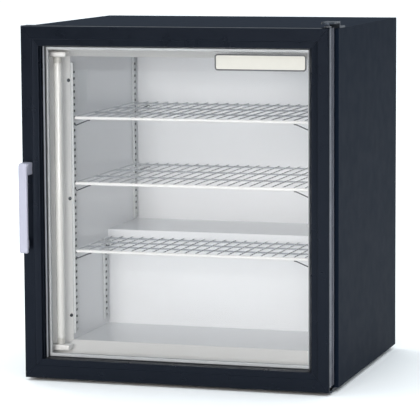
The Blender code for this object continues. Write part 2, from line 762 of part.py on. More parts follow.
def build_door(look):
    rear_lip = LIP_D + 0.0015 + 2 * PANE_T + CAVITY + GAP
    profile = [
        (0.0, 0.0015),
        (0.0015, 0.0),
        (STEP_W - 0.0007, 0.0),
        (STEP_W + 0.0007, STEP_D),
        (FACE_W, STEP_D),
        (LIP_W, LIP_D - 0.0015),
        (LIP_W, LIP_D),
        (REBATE, LIP_D),
        (REBATE, rear_lip),
        (LIP_W - 0.002, rear_lip),
        (LIP_W - 0.002, DOOR_T),
        (0.0, DOOR_T),
    ]
    bore = disc((AXIS_X, AXIS_Y), "z", PIN_R + PIN_CLEAR, DOOR_Z0 - 1, DOOR_Z0 + 0.045, 20)
    top_bore = disc((AXIS_X, AXIS_Y), "z", PIN_R + PIN_CLEAR, DOOR_Z1 - 0.035, DOOR_Z1 + 1, 20)
    notch = box(
        (AXIS_X - LOWER_ARM_R - 0.004, AXIS_Y - LOWER_ARM_R - 0.0055, DOOR_Z0 - 1),
        (DOOR_HALF + 1, Y_DOOR_BACK + 1, DOOR_Z0 + NOTCH_H),
    )
    for name, side in (
        ("door_rail_top", "top"),
        ("door_rail_bottom", "bottom"),
        ("door_stile_left", "left"),
        ("door_stile_right", "right"),
    ):
        piece = make(name, look["frame"], member(profile, side))
        if side == "bottom":
            cut(piece, notch)
        elif side == "right":
            cut(piece, notch)
            cut(piece, bore)
            cut(piece, top_bore)
        elif side == "top":
            cut(piece, top_bore)

    v = LIP_D + 0.0015
    edge = DOOR_HALF - REBATE - 0.001
    z0, z1 = DOOR_Z0 + REBATE + 0.001, DOOR_Z1 - REBATE - 0.001
    spacer0 = Y_DOOR + v + PANE_T
    make("glass_outer", look["glass"], box((-edge, Y_DOOR + v, z0), (edge, spacer0, z1)))
    make(
        "glass_spacer",
        look["alu"],
        ring_z(
            edge - 0.001, z0 + 0.001, z1 - 0.001, SPACER_W, spacer0 + GAP, spacer0 + CAVITY - GAP
        ),
    )
    make(
        "glass_inner",
        look["glass"],
        box((-edge, spacer0 + CAVITY, z0), (edge, spacer0 + CAVITY + PANE_T, z1)),
    )
    make(
        "glazing_bead",
        look["rubber"],
        ring_z(edge, z0, z1, LIP_W + BEAD_W - REBATE - 0.001, Y_DOOR + LIP_D + GAP, Y_DOOR + v - GAP),
    )
    make(
        "door_gasket",
        look["rubber"],
        ring_z(
            DOOR_HALF - GASKET_IN,
            DOOR_Z0 + GASKET_IN,
            DOOR_Z1 - GASKET_IN,
            GASKET_W,
            Y_DOOR_BACK + GAP,
            Y_CAB - GAP,
        ),
    )

    face = Y_DOOR + v - GAP
    px1 = DOOR_HALF - PLATE_FROM_RIGHT
    pz1 = DOOR_Z1 - PLATE_FROM_TOP
    outline = []
    r = 0.006
    for cx, cz, start in (
        (px1 - r, pz1 - r, 0),
        (px1 - PLATE_W + r, pz1 - r, 90),
        (px1 - PLATE_W + r, pz1 - PLATE_H + r, 180),
        (px1 - r, pz1 - PLATE_H + r, 270),
    ):
        for k in range(4):
            angle = math.radians(start + 30 * k)
            outline.append((cx + r * math.cos(angle), cz + r * math.sin(angle)))
    make("nameplate", look["plate"], prism(outline, "y", face - 0.0012, face))

    # Pull: a grip on two posts; the lower post is narrower and slants back to the door
    front, base = -DEPTH / 2, Y_DOOR - GAP
    x0 = -DOOR_HALF + PULL_IN
    inner = front + PULL_GRIP
    outline = [
        (base, PULL_Z1),
        (front + 0.005, PULL_Z1),
        (front, PULL_Z1 - 0.006),
        (front, PULL_Z0 + 0.003),
        (front + 0.004, PULL_Z0),
        (base, PULL_Z0 + 0.006),
        (base, PULL_Z0 + PULL_POST),
        (inner, PULL_Z0 + PULL_POST),
        (inner, PULL_Z1 - PULL_POST),
        (base, PULL_Z1 - PULL_POST),
    ]
    pull = make("door_pull", look["pull"], prism(outline, "x", x0, x0 + PULL_W))
    cut(
        pull,
        box((x0 + PULL_W / 2, inner, PULL_Z0 - 0.1), (1, base + 0.01, PULL_Z0 + PULL_POST + 0.01)),
    )

    washer_top = DOOR_Z1 + GAP
    washer_low = DOOR_Z0 + NOTCH_H - GAP
    hole = disc((AXIS_X, AXIS_Y), "z", PIN_R + PIN_CLEAR, -1, 1, 20)
    for end, z in (("top", washer_top), ("bottom", washer_low - 0.002)):
        washer = disc((AXIS_X, AXIS_Y), "z", 0.0060, z, z + 0.002, 20)
        cut(make("hinge_washer_" + end, look["alu"], washer), hole)


def build_hinges(look):
    arm0 = DOOR_Z1 + ARM_RISE
    arm1 = arm0 + ARM_T
    deck = Z_TOP + GAP
    riser = Y_CAB + 0.010
    top = make(
        "hinge_bracket_top",
        look["bracket"],
        prism(
            [
                (AXIS_Y, arm0),
                (riser, arm0),
                (riser, deck),
                (riser + 0.040, deck),
                (riser + 0.040, deck + ARM_T),
                (riser + ARM_T, deck + ARM_T),
                (riser + ARM_T, arm1),
                (AXIS_Y, arm1),
            ],
            "x",
            AXIS_X - ARM_R,
            AXIS_X + ARM_R,
        ),
    )
    add(top, disc((AXIS_X, AXIS_Y), "z", ARM_R, arm0, arm1, 32))
    add(top, disc((AXIS_X, AXIS_Y), "z", PIN_R, DOOR_Z1 - 0.030, arm0 + 0.001, 20))

    low1 = Z_BASE - GAP
    low0 = low1 - LOWER_ARM_T
    bottom = make(
        "hinge_bracket_bottom",
        look["bracket"],
        box((AXIS_X - LOWER_ARM_R, AXIS_Y, low0), (AXIS_X + LOWER_ARM_R - 0.004, Y_CAB + 0.055, low1)),
    )
    add(bottom, disc((AXIS_X, AXIS_Y), "z", LOWER_ARM_R, low0, low1, 32))
    add(bottom, disc((AXIS_X, AXIS_Y), "z", PIN_R, low1 - 0.001, DOOR_Z0 + 0.040, 20))


def main():
    for old in list(bpy.data.objects):
        bpy.data.objects.remove(old)
    look = {
        "black": material("black_paint", "282f38", 0.45),
        "zinc": material("zinc_sheet", "a9adb0", 0.4, 0.9),
        "white": material("white_liner", "d9dcdf", 0.35),
        "strip": material("white_strip", "e6e6e8", 0.4),
        "foam": material("foam", "e3d9a8", 0.9),
        "alu": material("aluminium", "b5b8bd", 0.35, 1.0),
        "rubber": material("black_rubber", "16181b", 0.7),
        "dark": material("dark_plastic", "24272b", 0.5),
        "wire": material("white_wire", "e9e9ea", 0.35),
        "lit": material("lamp_glass", "f7f8f6", 0.2),
        "glass": material("clear_glass", "dfe9ea", 0.05, 0.0, 0.2),
        "frame": material("black_frame", "1b222c", 0.35, 0.3),
        "pull": material("silver_pull", "c9c9d4", 0.35, 0.2),
        "plate": material("blank_plate", "e7e5dd", 0.4),
        "bracket": material("steel_bracket", "4d5560", 0.35, 0.8),
        "copper": material("copper_line", "b0693f", 0.35, 1.0),
    }
    build_shell(look)
    build_liner(look)
    slope = build_throat(look)
    build_shelving(look)
    build_lamp(look, slope)
    build_machine(look)
    build_door(look)
    build_hinges(look)


main()
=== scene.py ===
"""Looks of a glass door merchandiser, built round its packed CAD frame.

Run as a script. Each operator makes one piece, or one group of like pieces, and rides it on the
body that it moves with: cabinet, door, fan or knob. Metres, +Z up, door towards -Y.
"""

import json
import math

import bmesh
import bpy
from mathutils import Matrix, Vector


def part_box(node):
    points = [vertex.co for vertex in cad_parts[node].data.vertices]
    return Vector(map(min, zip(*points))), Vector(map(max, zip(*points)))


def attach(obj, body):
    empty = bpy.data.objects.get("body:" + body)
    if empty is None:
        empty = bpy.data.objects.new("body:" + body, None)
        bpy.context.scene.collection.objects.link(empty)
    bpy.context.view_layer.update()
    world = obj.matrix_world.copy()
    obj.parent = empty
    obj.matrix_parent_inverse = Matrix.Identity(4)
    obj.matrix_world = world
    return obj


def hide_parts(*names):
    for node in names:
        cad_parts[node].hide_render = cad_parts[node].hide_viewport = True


bl_info = {
    "name": "Glass door merchandiser",
    "version": (1, 0, 0),
    "blender": (4, 5, 0),
    "location": "3D View > Sidebar > Merchandiser",
    "description": "Builds the looks of a table-top refrigerated display cabinet",
    "category": "Object",
}

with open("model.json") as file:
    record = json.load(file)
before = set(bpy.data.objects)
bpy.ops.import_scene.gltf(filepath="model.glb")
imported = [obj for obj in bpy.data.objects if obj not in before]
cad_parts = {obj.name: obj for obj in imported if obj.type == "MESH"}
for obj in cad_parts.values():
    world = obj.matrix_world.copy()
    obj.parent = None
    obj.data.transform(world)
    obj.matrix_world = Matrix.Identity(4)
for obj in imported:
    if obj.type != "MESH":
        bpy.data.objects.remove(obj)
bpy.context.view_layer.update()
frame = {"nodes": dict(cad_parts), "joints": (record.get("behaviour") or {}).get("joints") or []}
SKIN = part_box("outer_wrapper")
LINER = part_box("inner_liner")
STILE_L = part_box("door_stile_left")
STILE_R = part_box("door_stile_right")
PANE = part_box("glass_outer")
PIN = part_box("hinge_washer_top")

DOOR_X = STILE_R[1][0]
DOOR_Y = STILE_R[0][1]
DOOR_BACK = STILE_R[1][1]
DOOR_Z0, DOOR_Z1 = STILE_L[0][2], STILE_L[1][2]
AXIS = Vector(((PIN[0][0] + PIN[1][0]) / 2, (PIN[0][1] + PIN[1][1]) / 2, 0))


# ------------------------------------------------------------------ colours and node helpers
def linear(code):
    """The linear colour of an sRGB hex value."""
    channels = [int(code[i : i + 2], 16) / 255 for i in (0, 2, 4)]
    return tuple(c / 12.92 if c <= 0.04045 else ((c + 0.055) / 1.055) ** 2.4 for c in channels)


def node(tree, kind, inputs=None, **settings):
    """Adds a node. Settings are its properties; inputs hold a value, or a socket to link from."""
    made = tree.nodes.new(kind)
    for key, value in settings.items():
        setattr(made, key, value)
    for key, value in (inputs or {}).items():
        if isinstance(value, bpy.types.NodeSocket):
            tree.links.new(value, made.inputs[key])
        elif value is not None:
            made.inputs[key].default_value = value
    return made


def rgba(colour):
    return (*colour[:3], 1.0)


def finish(name, colour, roughness, metallic=0.0, coat=0.0, ior=1.5, shine=0.5):
    """A new material with its shader, whose even values stand on the shader's own sockets."""
    made = bpy.data.materials.new(name)
    made.use_nodes = True
    tree = made.node_tree
    tree.nodes.clear()
    even = {"Base Color": rgba(colour), "Roughness": roughness, "Metallic": metallic}
    even["IOR"] = ior
    even["Coat Weight"] = coat
    even["Specular IOR Level"] = shine
    shader = node(tree, "ShaderNodeBsdfPrincipled", even)
    node(tree, "ShaderNodeOutputMaterial", {"Surface": shader.outputs[0]})
    place = node(tree, "ShaderNodeTexCoord").outputs["Object"]
    return made, tree, shader, place


def tint(tree, shader, factor, colour, low, high):
    """Lets the colour run between two shades of itself, as a factor from 0 to 1 says."""
    ends = {6: rgba([c * low for c in colour]), 7: rgba([min(1, c * high) for c in colour])}
    mix = node(tree, "ShaderNodeMix", {"Factor": factor, **ends}, data_type="RGBA")
    tree.links.new(mix.outputs[2], shader.inputs["Base Color"])


def mottle(tree, shader, place, colour, change, size):
    """Lets the colour drift by a share over patches of a size in metres."""
    noise = node(tree, "ShaderNodeTexNoise", {"Vector": place, "Scale": 1 / size, "Detail": 3.0})
    tint(tree, shader, noise.outputs[0], colour, 1 - change, 1 + change)


def emboss(tree, shader, height, depth):
    """Bumps the surface by a depth in metres where the height is 1."""
    bump = node(tree, "ShaderNodeBump", {"Height": height, "Distance": depth, "Strength": 1.0})
    tree.links.new(bump.outputs[0], shader.inputs["Normal"])


def grain(tree, shader, place, size, depth, detail=2.0):
    """Bumps the surface in grains of a size in metres."""
    noise = node(tree, "ShaderNodeTexNoise", {"Vector": place, "Scale": 1 / size, "Detail": detail})
    emboss(tree, shader, noise.outputs[0], depth)


def rub(tree, shader, place, low, high, size):
    """Lets the roughness drift between two values over patches of a size in metres."""
    noise = node(tree, "ShaderNodeTexNoise", {"Vector": place, "Scale": 1 / size, "Detail": 4.0})
    span = node(
        tree,
        "ShaderNodeMapRange",
        {"Value": noise.outputs[0], "From Min": 0.3, "From Max": 0.7, "To Min": low, "To Max": high},
    )
    tree.links.new(span.outputs[0], shader.inputs["Roughness"])


# ------------------------------------------------------------------ finishes
def stoved_enamel(name, colour, roughness=0.4, peel=0.0022, depth=0.00002, shine=0.5):
    """Stoved enamel on steel sheet: sprayed smooth, with a fine orange peel that softens the
    reflections. The peel is 2.2 mm from crest to crest."""
    made, tree, shader, place = finish(name, colour, roughness, shine=shine)
    mottle(tree, shader, place, colour, 0.04, 0.16)
    grain(tree, shader, place, peel, depth)
    rub(tree, shader, place, roughness * 0.95, roughness * 1.05, 0.03)
    return made


def drawn_metal(name, colour, along, roughness=0.3, metallic=1.0):
    """Extruded aluminium: the die leaves fine lines along its length, 0.7 mm apart, drawn
    coarser than the real 0.2 mm so that they show, and they stretch the highlights."""
    made, tree, shader, place = finish(name, colour, roughness, metallic)
    fine, long = 1 / 0.0007, 1 / 0.25
    scale = [long if axis == along else fine for axis in "xyz"]
    stretch = node(tree, "ShaderNodeMapping", {"Vector": place, "Scale": scale})
    lines = node(
        tree, "ShaderNodeTexNoise", {"Vector": stretch.outputs[0], "Scale": 1.0, "Detail": 2.0}
    )
    tint(tree, shader, lines.outputs[0], colour, 0.9, 1.1)
    emboss(tree, shader, lines.outputs[0], 0.000015)
    rub(tree, shader, place, roughness * 0.85, roughness * 1.2, 0.03)
    return made


def moulded_plastic(name, colour, roughness=0.45, tool=0.0012, depth=0.00002, coat=0.0):
    """Injection moulded or extruded plastic: an even colour with a faint grain from the tool,
    1.2 mm across."""
    made, tree, shader, place = finish(name, colour, roughness, coat=coat, ior=1.46)
    mottle(tree, shader, place, colour, 0.03, 0.06)
    grain(tree, shader, place, tool, depth, 3.0)
    rub(tree, shader, place, roughness * 0.9, roughness * 1.1, 0.02)
    return made


def epoxy_coat(name, colour):
    """White epoxy baked on wire: glossy, thicker in some places, so the shine wanders."""
    made, tree, shader, place = finish(name, colour, 0.28, coat=0.3)
    mottle(tree, shader, place, colour, 0.04, 0.02)
    grain(tree, shader, place, 0.004, 0.00006, 1.0)
    return made


def soft_rubber(name, colour):
    """Extruded black elastomer: matt, with a dusty bloom in patches of 15 mm."""
    made, tree, shader, place = finish(name, colour, 0.7)
    mottle(tree, shader, place, colour, 0.25, 0.015)
    grain(tree, shader, place, 0.0009, 0.00003, 3.0)
    return made


def zinc_coat(name, colour):
    """Hot dipped zinc on steel sheet: crystals about 9 mm across, each a shade of its own."""
    made, tree, shader, place = finish(name, colour, 0.42, 0.85)
    cells = node(tree, "ShaderNodeTexVoronoi", {"Vector": place, "Scale": 1 / 0.009})
    shade = node(tree, "ShaderNodeSeparateColor", {"Color": cells.outputs["Color"]})
    tint(tree, shader, shade.outputs[0], colour, 0.78, 1.15)
    span = node(
        tree, "ShaderNodeMapRange", {"Value": shade.outputs[1], "To Min": 0.32, "To Max": 0.55}
    )
    tree.links.new(span.outputs[0], shader.inputs["Roughness"])
    return made


def plated_metal(name, colour, roughness=0.3):
    """Plated steel or drawn tube: bright, with hair scratches from handling."""
    made, tree, shader, place = finish(name, colour, roughness, 1.0)
    mottle(tree, shader, place, colour, 0.12, 0.008)
    rub(tree, shader, place, roughness * 0.7, roughness * 1.5, 0.004)
    grain(tree, shader, place, 0.0011, 0.00002, 5.0)
    return made


def float_glass(name, colour):
    """Tempered float glass: clear, with a little mirror that grows at grazing angles. The index
    is under the real 1.52, because each pane's two faces and the gap mirror one after another."""
    made = bpy.data.materials.new(name)
    made.use_nodes = True
    tree = made.node_tree
    tree.nodes.clear()
    through = node(tree, "ShaderNodeBsdfTransparent", {"Color": rgba(colour)})
    gloss = node(
        tree, "ShaderNodeBsdfGlossy", {"Color": (0.6, 0.6, 0.6, 1), "Roughness": 0.02}
    )
    edge = node(tree, "ShaderNodeFresnel", {"IOR": 1.33})
    mix = node(
        tree,
        "ShaderNodeMixShader",
        {"Fac": edge.outputs[0], 1: through.outputs[0], 2: gloss.outputs[0]},
    )
    node(tree, "ShaderNodeOutputMaterial", {"Surface": mix.outputs[0]})
    return made


def lamp_phosphor(name, colour, glow):
    """Fluorescent tube: white powder inside clear glass, glossy outside and softly lit."""
    made, tree, shader, place = finish(name, colour, 0.12, coat=0.5)
    mottle(tree, shader, place, colour, 0.02, 0.03)
    shader.inputs["Emission Color"].default_value = rgba(colour)
    shader.inputs["Emission Strength"].default_value = glow
    return made


def printed_plate(name, colour):
    """Screen printed plastic film: flat ink with a slight tooth."""
    made, tree, shader, place = finish(name, colour, 0.35, coat=0.2)
    mottle(tree, shader, place, colour, 0.03, 0.01)
    grain(tree, shader, place, 0.0006, 0.00001)
    return made


# ------------------------------------------------------------------ mesh helpers
def loose(name, shapes, materials=()):
    """A piece at the origin from closed shapes (points, faces, a material index or a list)."""
    builder = bmesh.new()
    for points, faces, index in shapes:
        corners = [builder.verts.new(Vector(p)) for p in points]
        for k, face in enumerate(faces):
            made = builder.faces.new([corners[i] for i in face])
            made.material_index = index[k] if isinstance(index, (list, tuple)) else index
    bmesh.ops.recalc_face_normals(builder, faces=builder.faces)
    mesh = bpy.data.meshes.new(name)
    builder.to_mesh(mesh)
    builder.free()
    for material in materials:
        mesh.materials.append(material)
    piece = bpy.data.objects.new(name, mesh)
    bpy.context.scene.collection.objects.link(piece)
    return piece


def solid(name, shapes, materials, angle=30, body="cabinet", stands_for=()):
    """One finished piece from closed shapes."""
    return settle(loose(name, shapes, materials), body, stands_for, angle)


def settle(piece, body, stands_for=(), angle=30):
    """Shades a finished piece and hangs it on its body."""
    piece.data.shade_smooth()
    piece.data.set_sharp_from_angle(angle=math.radians(angle))
    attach(piece, body)
    if stands_for:
        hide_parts(*stands_for)
    return piece


def bake(piece):
    """Turns what a piece's modifiers make into its own plain mesh."""
    bpy.context.view_layer.update()
    graph = bpy.context.evaluated_depsgraph_get()
    result = bpy.data.meshes.new_from_object(piece.evaluated_get(graph))
    piece.modifiers.clear()
    piece.data = result
    return piece


def carve(piece, *shapes):
    """Cuts closed shapes out of a piece."""
    tool = loose("tool", shapes)
    change = piece.modifiers.new("cut", "BOOLEAN")
    change.operation = "DIFFERENCE"
    change.solver = "EXACT"
    change.object = tool
    bake(piece)
    bpy.data.objects.remove(tool)
    return piece


def soften(piece, width, segments):
    """Rounds the piece's sharp edges by a real radius."""
    bevel = piece.modifiers.new("soften", "BEVEL")
    bevel.width = width
    bevel.segments = segments
    bevel.limit_method = "ANGLE"
    bevel.angle_limit = math.radians(35)
    bevel.harden_normals = False
    return bake(piece)


def loft(loops, index=0, closed=True, caps=True):
    """A skin over outlines of the same number of points."""
    count = len(loops[0])
    points = [p for loop in loops for p in loop]
    faces, marks = [], []
    span = count if closed else count - 1
    for row in range(len(loops) - 1):
        for k in range(span):
            a, b = row * count + k, row * count + (k + 1) % count
            faces.append((a, b, b + count, a + count))
            marks.append(index[k] if isinstance(index, (list, tuple)) else index)
    if caps:
        end = marks[0]
        faces += [tuple(range(count)), tuple(range(len(points) - 1, len(points) - count - 1, -1))]
        marks += [end, end]
    return points, faces, marks


def ring(loops):
    """A closed ring from outlines, the last of which meets the first again."""
    points, faces, marks = loft(loops + [loops[0]], 0, True, False)
    keep = len(loops) * len(loops[0])
    return points[:keep], [tuple(i % keep for i in face) for face in faces], marks


def frame_outline(x, y, z0, z1):
    """A rectangle centred on X, as four points."""
    return [(-x, y, z0), (x, y, z0), (x, y, z1), (-x, y, z1)]


def block(lo, hi):
    x0, y0, z0 = lo
    x1, y1, z1 = hi
    loops = [[(x0, y0, z), (x1, y0, z), (x1, y1, z), (x0, y1, z)] for z in (z0, z1)]
    return loft(loops)


def prism(outline, axis, lo, hi):
    """A polygon pushed along an axis."""
    place = {
        "x": lambda a, b, t: (t, a, b),
        "y": lambda a, b, t: (a, t, b),
        "z": lambda a, b, t: (a, b, t),
    }[axis]
    return loft([[place(a, b, t) for a, b in outline] for t in (lo, hi)])


def turned(profile, centre, axis, count):
    """A turned shape: (radius, distance along the axis) points from end to end."""
    rows = []
    for radius, along in profile:
        row = []
        for k in range(count):
            a = math.tau * k / count
            p, q = radius * math.cos(a), radius * math.sin(a)
            row.append(
                {
                    "x": (centre[0] + along, centre[1] + p, centre[2] + q),
                    "y": (centre[0] + p, centre[1] + along, centre[2] + q),
                    "z": (centre[0] + p, centre[1] + q, centre[2] + along),
                }[axis]
            )
        rows.append(row)
    return loft(rows)


def sweep(path, radii, sides):
    """A round wire or tube along a path."""
    path = [Vector(p) for p in path]
    rows, side = [], None
    for i, here in enumerate(path):
        before, after = path[max(i - 1, 0)], path[min(i + 1, len(path) - 1)]
        tangent = ((here - before).normalized() + (after - here).normalized()).normalized()
        side = side or tangent.orthogonal()
        side = (side - tangent * side.dot(tangent)).normalized()
        other = tangent.cross(side)
        r = radii[i] if isinstance(radii, (list, tuple)) else radii
        rows.append(
            [
                here
                + r * (side * math.cos(math.tau * k / sides) + other * math.sin(math.tau * k / sides))
                for k in range(sides)
            ]
        )
    return loft(rows)


def rounded(corners, radius, steps=5):
    """A path or outline with each inner corner turned on an arc."""
    path = [Vector(corners[0])]
    for before, here, after in zip(corners, corners[1:], corners[2:]):
        before, here, after = Vector(before), Vector(here), Vector(after)
        back, on = (before - here).normalized(), (after - here).normalized()
        reach = min(radius, (before - here).length * 0.45, (after - here).length * 0.45)
        for k in range(steps + 1):
            t = k / steps
            start, end = here + back * reach, here + on * reach
            path.append(start * (1 - t) ** 2 + here * 2 * t * (1 - t) + end * t**2)
    path.append(Vector(corners[-1]))
    return path


def rounded_box_outline(x0, x1, z0, z1, radius):
    """A rectangle with round corners, as (x, z) points."""
    steps = 6
    outline = []
    for cx, cz, start in (
        (x1 - radius, z1 - radius, 0),
        (x0 + radius, z1 - radius, 90),
        (x0 + radius, z0 + radius, 180),
        (x1 - radius, z0 + radius, 270),
    ):
        for k in range(steps + 1):
            a = math.radians(start + 90 * k / steps)
            outline.append((cx + radius * math.cos(a), cz + radius * math.sin(a)))
    return outline


# ------------------------------------------------------------------ node trees for repeats
def new_tree(name, sockets):
    """A Geometry Nodes tree with named inputs, each (name, socket type, default)."""
    tree = bpy.data.node_groups.new(name, "GeometryNodeTree")
    tree.interface.new_socket("Geometry", in_out="INPUT", socket_type="NodeSocketGeometry")
    for label, kind, default in sockets:
        made = tree.interface.new_socket(label, in_out="INPUT", socket_type="NodeSocket" + kind)
        if default is not None:
            made.default_value = default
    tree.interface.new_socket("Geometry", in_out="OUTPUT", socket_type="NodeSocketGeometry")
    return tree, node(tree, "NodeGroupInput").outputs


def close_tree(tree, geometry, material):
    """Ends a tree in real geometry with one material."""
    real = node(tree, "GeometryNodeRealizeInstances", {0: geometry})
    coat = {"Geometry": real.outputs[0], "Material": material}
    painted = node(tree, "GeometryNodeSetMaterial", coat)
    node(tree, "NodeGroupOutput", {0: painted.outputs[0]})
    return tree


def grow(name, tree, values, seeds=None):
    """Runs a tree on points (place, turn) or on nothing, and keeps its result as a mesh."""
    mesh = bpy.data.meshes.new(name)
    if seeds:
        mesh.from_pydata([place for place, _ in seeds], [], [])
        turns = mesh.attributes.new("turn", "FLOAT_VECTOR", "POINT")
        for i, (_, turn) in enumerate(seeds):
            turns.data[i].vector = turn
    piece = bpy.data.objects.new(name, mesh)
    bpy.context.scene.collection.objects.link(piece)
    modifier = piece.modifiers.new(tree.name, "NODES")
    modifier.node_group = tree
    for item in tree.interface.items_tree:
        if item.in_out == "INPUT" and item.name in values:
            modifier[item.identifier] = values[item.name]
    return bake(piece)


def copies_tree():
    """Sets a copy of one piece on every point, turned as the point's own angles say."""
    tree, given = new_tree(
        "placed_copies", (("Piece", "Object", None), ("Material", "Material", None))
    )
    info = node(tree, "GeometryNodeObjectInfo", {"Object": given["Piece"]})
    turn = node(tree, "GeometryNodeInputNamedAttribute", {"Name": "turn"}, data_type="FLOAT_VECTOR")
    euler = node(tree, "FunctionNodeEulerToRotation", {0: turn.outputs[0]})
    copies = node(
        tree,
        "GeometryNodeInstanceOnPoints",
        {
            "Points": given["Geometry"],
            "Instance": info.outputs["Geometry"],
            "Rotation": euler.outputs[0],
        },
    )
    return close_tree(tree, copies.outputs[0], given["Material"])


def copies(name, original, seeds, material, slot, angle=30):
    """Copies of a small piece; the original is taken away again."""
    tree = bpy.data.node_groups.get("placed_copies") or copies_tree()
    piece = grow(name, tree, {"Piece": original, "Material": material}, seeds)
    bpy.data.objects.remove(original)
    return settle(piece, "cabinet", (), angle)


def shelf_tree():
    """A wire shelf: a row of round wires on a row of cross rods."""
    sockets = [("Material", "Material", None)]
    for bar in ("Wire", "Rod"):
        sockets += [(bar + " Count", "Int", 4), (bar + " Radius", "Float", 0.0015)]
        sockets += [(f"{bar} {end}", "Vector", (0, 0, 0)) for end in ("From", "To", "Start", "Step")]
    tree, given = new_tree("wire_shelf", sockets)
    joined = node(tree, "GeometryNodeJoinGeometry")
    for bar, sides in (("Wire", 8), ("Rod", 10)):
        ends = {"Start": given[bar + " From"], "End": given[bar + " To"]}
        path = node(tree, "GeometryNodeCurvePrimitiveLine", ends)
        section = {"Resolution": sides, "Radius": given[bar + " Radius"]}
        circle = node(tree, "GeometryNodeCurvePrimitiveCircle", section)
        skin = {"Curve": path.outputs[0], "Profile Curve": circle.outputs[0], "Fill Caps": True}
        tube = node(tree, "GeometryNodeCurveToMesh", skin)
        spread = {"Count": given[bar + " Count"], "Start Location": given[bar + " Start"]}
        spread["Offset"] = given[bar + " Step"]
        line = node(tree, "GeometryNodeMeshLine", spread)
        pair = {"Points": line.outputs[0], "Instance": tube.outputs[0]}
        placed = node(tree, "GeometryNodeInstanceOnPoints", pair)
        tree.links.new(placed.outputs[0], joined.inputs[0])
    return close_tree(tree, joined.outputs[0], given["Material"])


def row_tree():
    """Copies of one piece in a straight row, such as fins or louvres."""
    tree, given = new_tree(
        "straight_row",
        (
            ("Piece", "Object", None),
            ("Count", "Int", 10),
            ("Start", "Vector", (0, 0, 0)),
            ("Step", "Vector", (0, 0, 0.01)),
            ("Material", "Material", None),
        ),
    )
    info = node(tree, "GeometryNodeObjectInfo", {"Object": given["Piece"]})
    line = node(
        tree,
        "GeometryNodeMeshLine",
        {"Count": given["Count"], "Start Location": given["Start"], "Offset": given["Step"]},
    )
    copies = node(
        tree,
        "GeometryNodeInstanceOnPoints",
        {"Points": line.outputs[0], "Instance": info.outputs["Geometry"]},
    )
    return close_tree(tree, copies.outputs[0], given["Material"])


def row(name, original, count, start, step, material, slot, stands_for=()):
    """A row of a small piece; the original is taken away again."""
    tree = bpy.data.node_groups.get("straight_row") or row_tree()
    values = {"Piece": original, "Count": count, "Start": start, "Step": step, "Material": material}
    piece = grow(name, tree, values)
    bpy.data.objects.remove(original)
    return settle(piece, "cabinet", stands_for)


def pan_head(radius, height):
    """A pan head screw seen from above: domed head along +Z with a cross recess."""
    dome = [(radius, 0.0), (radius, height * 0.35), (radius * 0.86, height * 0.75)]
    dome += [(radius * 0.55, height * 0.95), (radius * 0.15, height)]
    head = loose("head", [turned(dome, (0, 0, 0), "z", 20)])
    arm, half = radius * 0.62, radius * 0.13
    deep = height * 0.45
    carve(head, block((-arm, -half, deep), (arm, half, height * 2)))
    carve(head, block((-half, -arm, deep), (half, arm, height * 2)))
    return head


def paint(names, material):
    """Gives CAD nodes that keep their own shape a finish."""
    for name in names:
        mesh = frame["nodes"][name].data
        mesh.materials.clear()
        mesh.materials.append(material)


def look(name, maker, *args, **more):
    """A finish by name, made once."""
    return bpy.data.materials.get(name) or maker(name, *args, **more)


def black_enamel():
    paint_colour = bpy.context.scene.merch_shell.paint
    return look("satin_black_enamel", stoved_enamel, paint_colour, 0.5, 0.0022, 0.00002, 0.015)


def white_strip():
    return look("white_extruded_vinyl", moulded_plastic, bpy.context.scene.merch_inside.strip, 0.38)


def pilaster_steel():
    return look("painted_pilaster_steel", moulded_plastic, linear("cdd0d2"), 0.42)


def zinc():
    return look("zinc_coated_steel", zinc_coat, linear("a7abae"))


def dark_plastic():
    return look("black_moulded_nylon", moulded_plastic, linear("24272b"), 0.5)


def bright_steel():
    return look("bright_plated_steel", plated_metal, linear("8f9297"), 0.42)


def dark_steel():
    return look("blackened_steel", plated_metal, linear("4a4f57"), 0.38)


def bare_aluminium():
    return look("bare_aluminium", drawn_metal, linear("868791"), "z", 0.36)


def rubber():
    return look("black_elastomer", soft_rubber, linear("15171a"))


# ------------------------------------------------------------------ settings
def size(name, text, default):
    return bpy.props.FloatProperty(name=name, description=text, default=default, unit="LENGTH")


def colour(name, text, code):
    return bpy.props.FloatVectorProperty(
        name=name, description=text, default=linear(code), subtype="COLOR", min=0, max=1
    )


class ShellSettings(bpy.types.PropertyGroup):
    """Outer cabinet"""

    paint: colour("Paint", "Enamel of the outer cabinet", "141c28")
    screw: size("Screw radius", "Head radius of the panel screws", 0.004)
    louvre: size("Louvre height", "Height of a pressed louvre hood", 0.0075)


class InsideSettings(bpy.types.PropertyGroup):
    """Storage space"""

    liner: colour("Liner", "Enamel of the liner", "e8eaed")
    strip: colour("Strips", "Vinyl of the throat strips", "f2f2f1")
    wire: colour("Wire", "Epoxy on the shelves", "f2f2f2")
    # The wires' grey is painted shade: they carry the same white coat as the rail, shown darker
    mesh: colour("Mesh", "Thin coat on the wires behind the rail", "a4a9b0")
    wires: bpy.props.IntProperty(name="Wires", description="Wires in a shelf", default=22, min=4)
    wire_radius: size("Wire radius", "Radius of a shelf's wires", 0.0013)
    rod_radius: size("Rod radius", "Radius of a shelf's cross rods", 0.0017)
    rail_radius: size("Rail radius", "Radius of a shelf's front rail", 0.0031)
    clip: size("Clip length", "Reach of a shelf clip from the wall", 0.027)
    glow: bpy.props.FloatProperty(name="Glow", description="Light of the lamp tube", default=0.04)


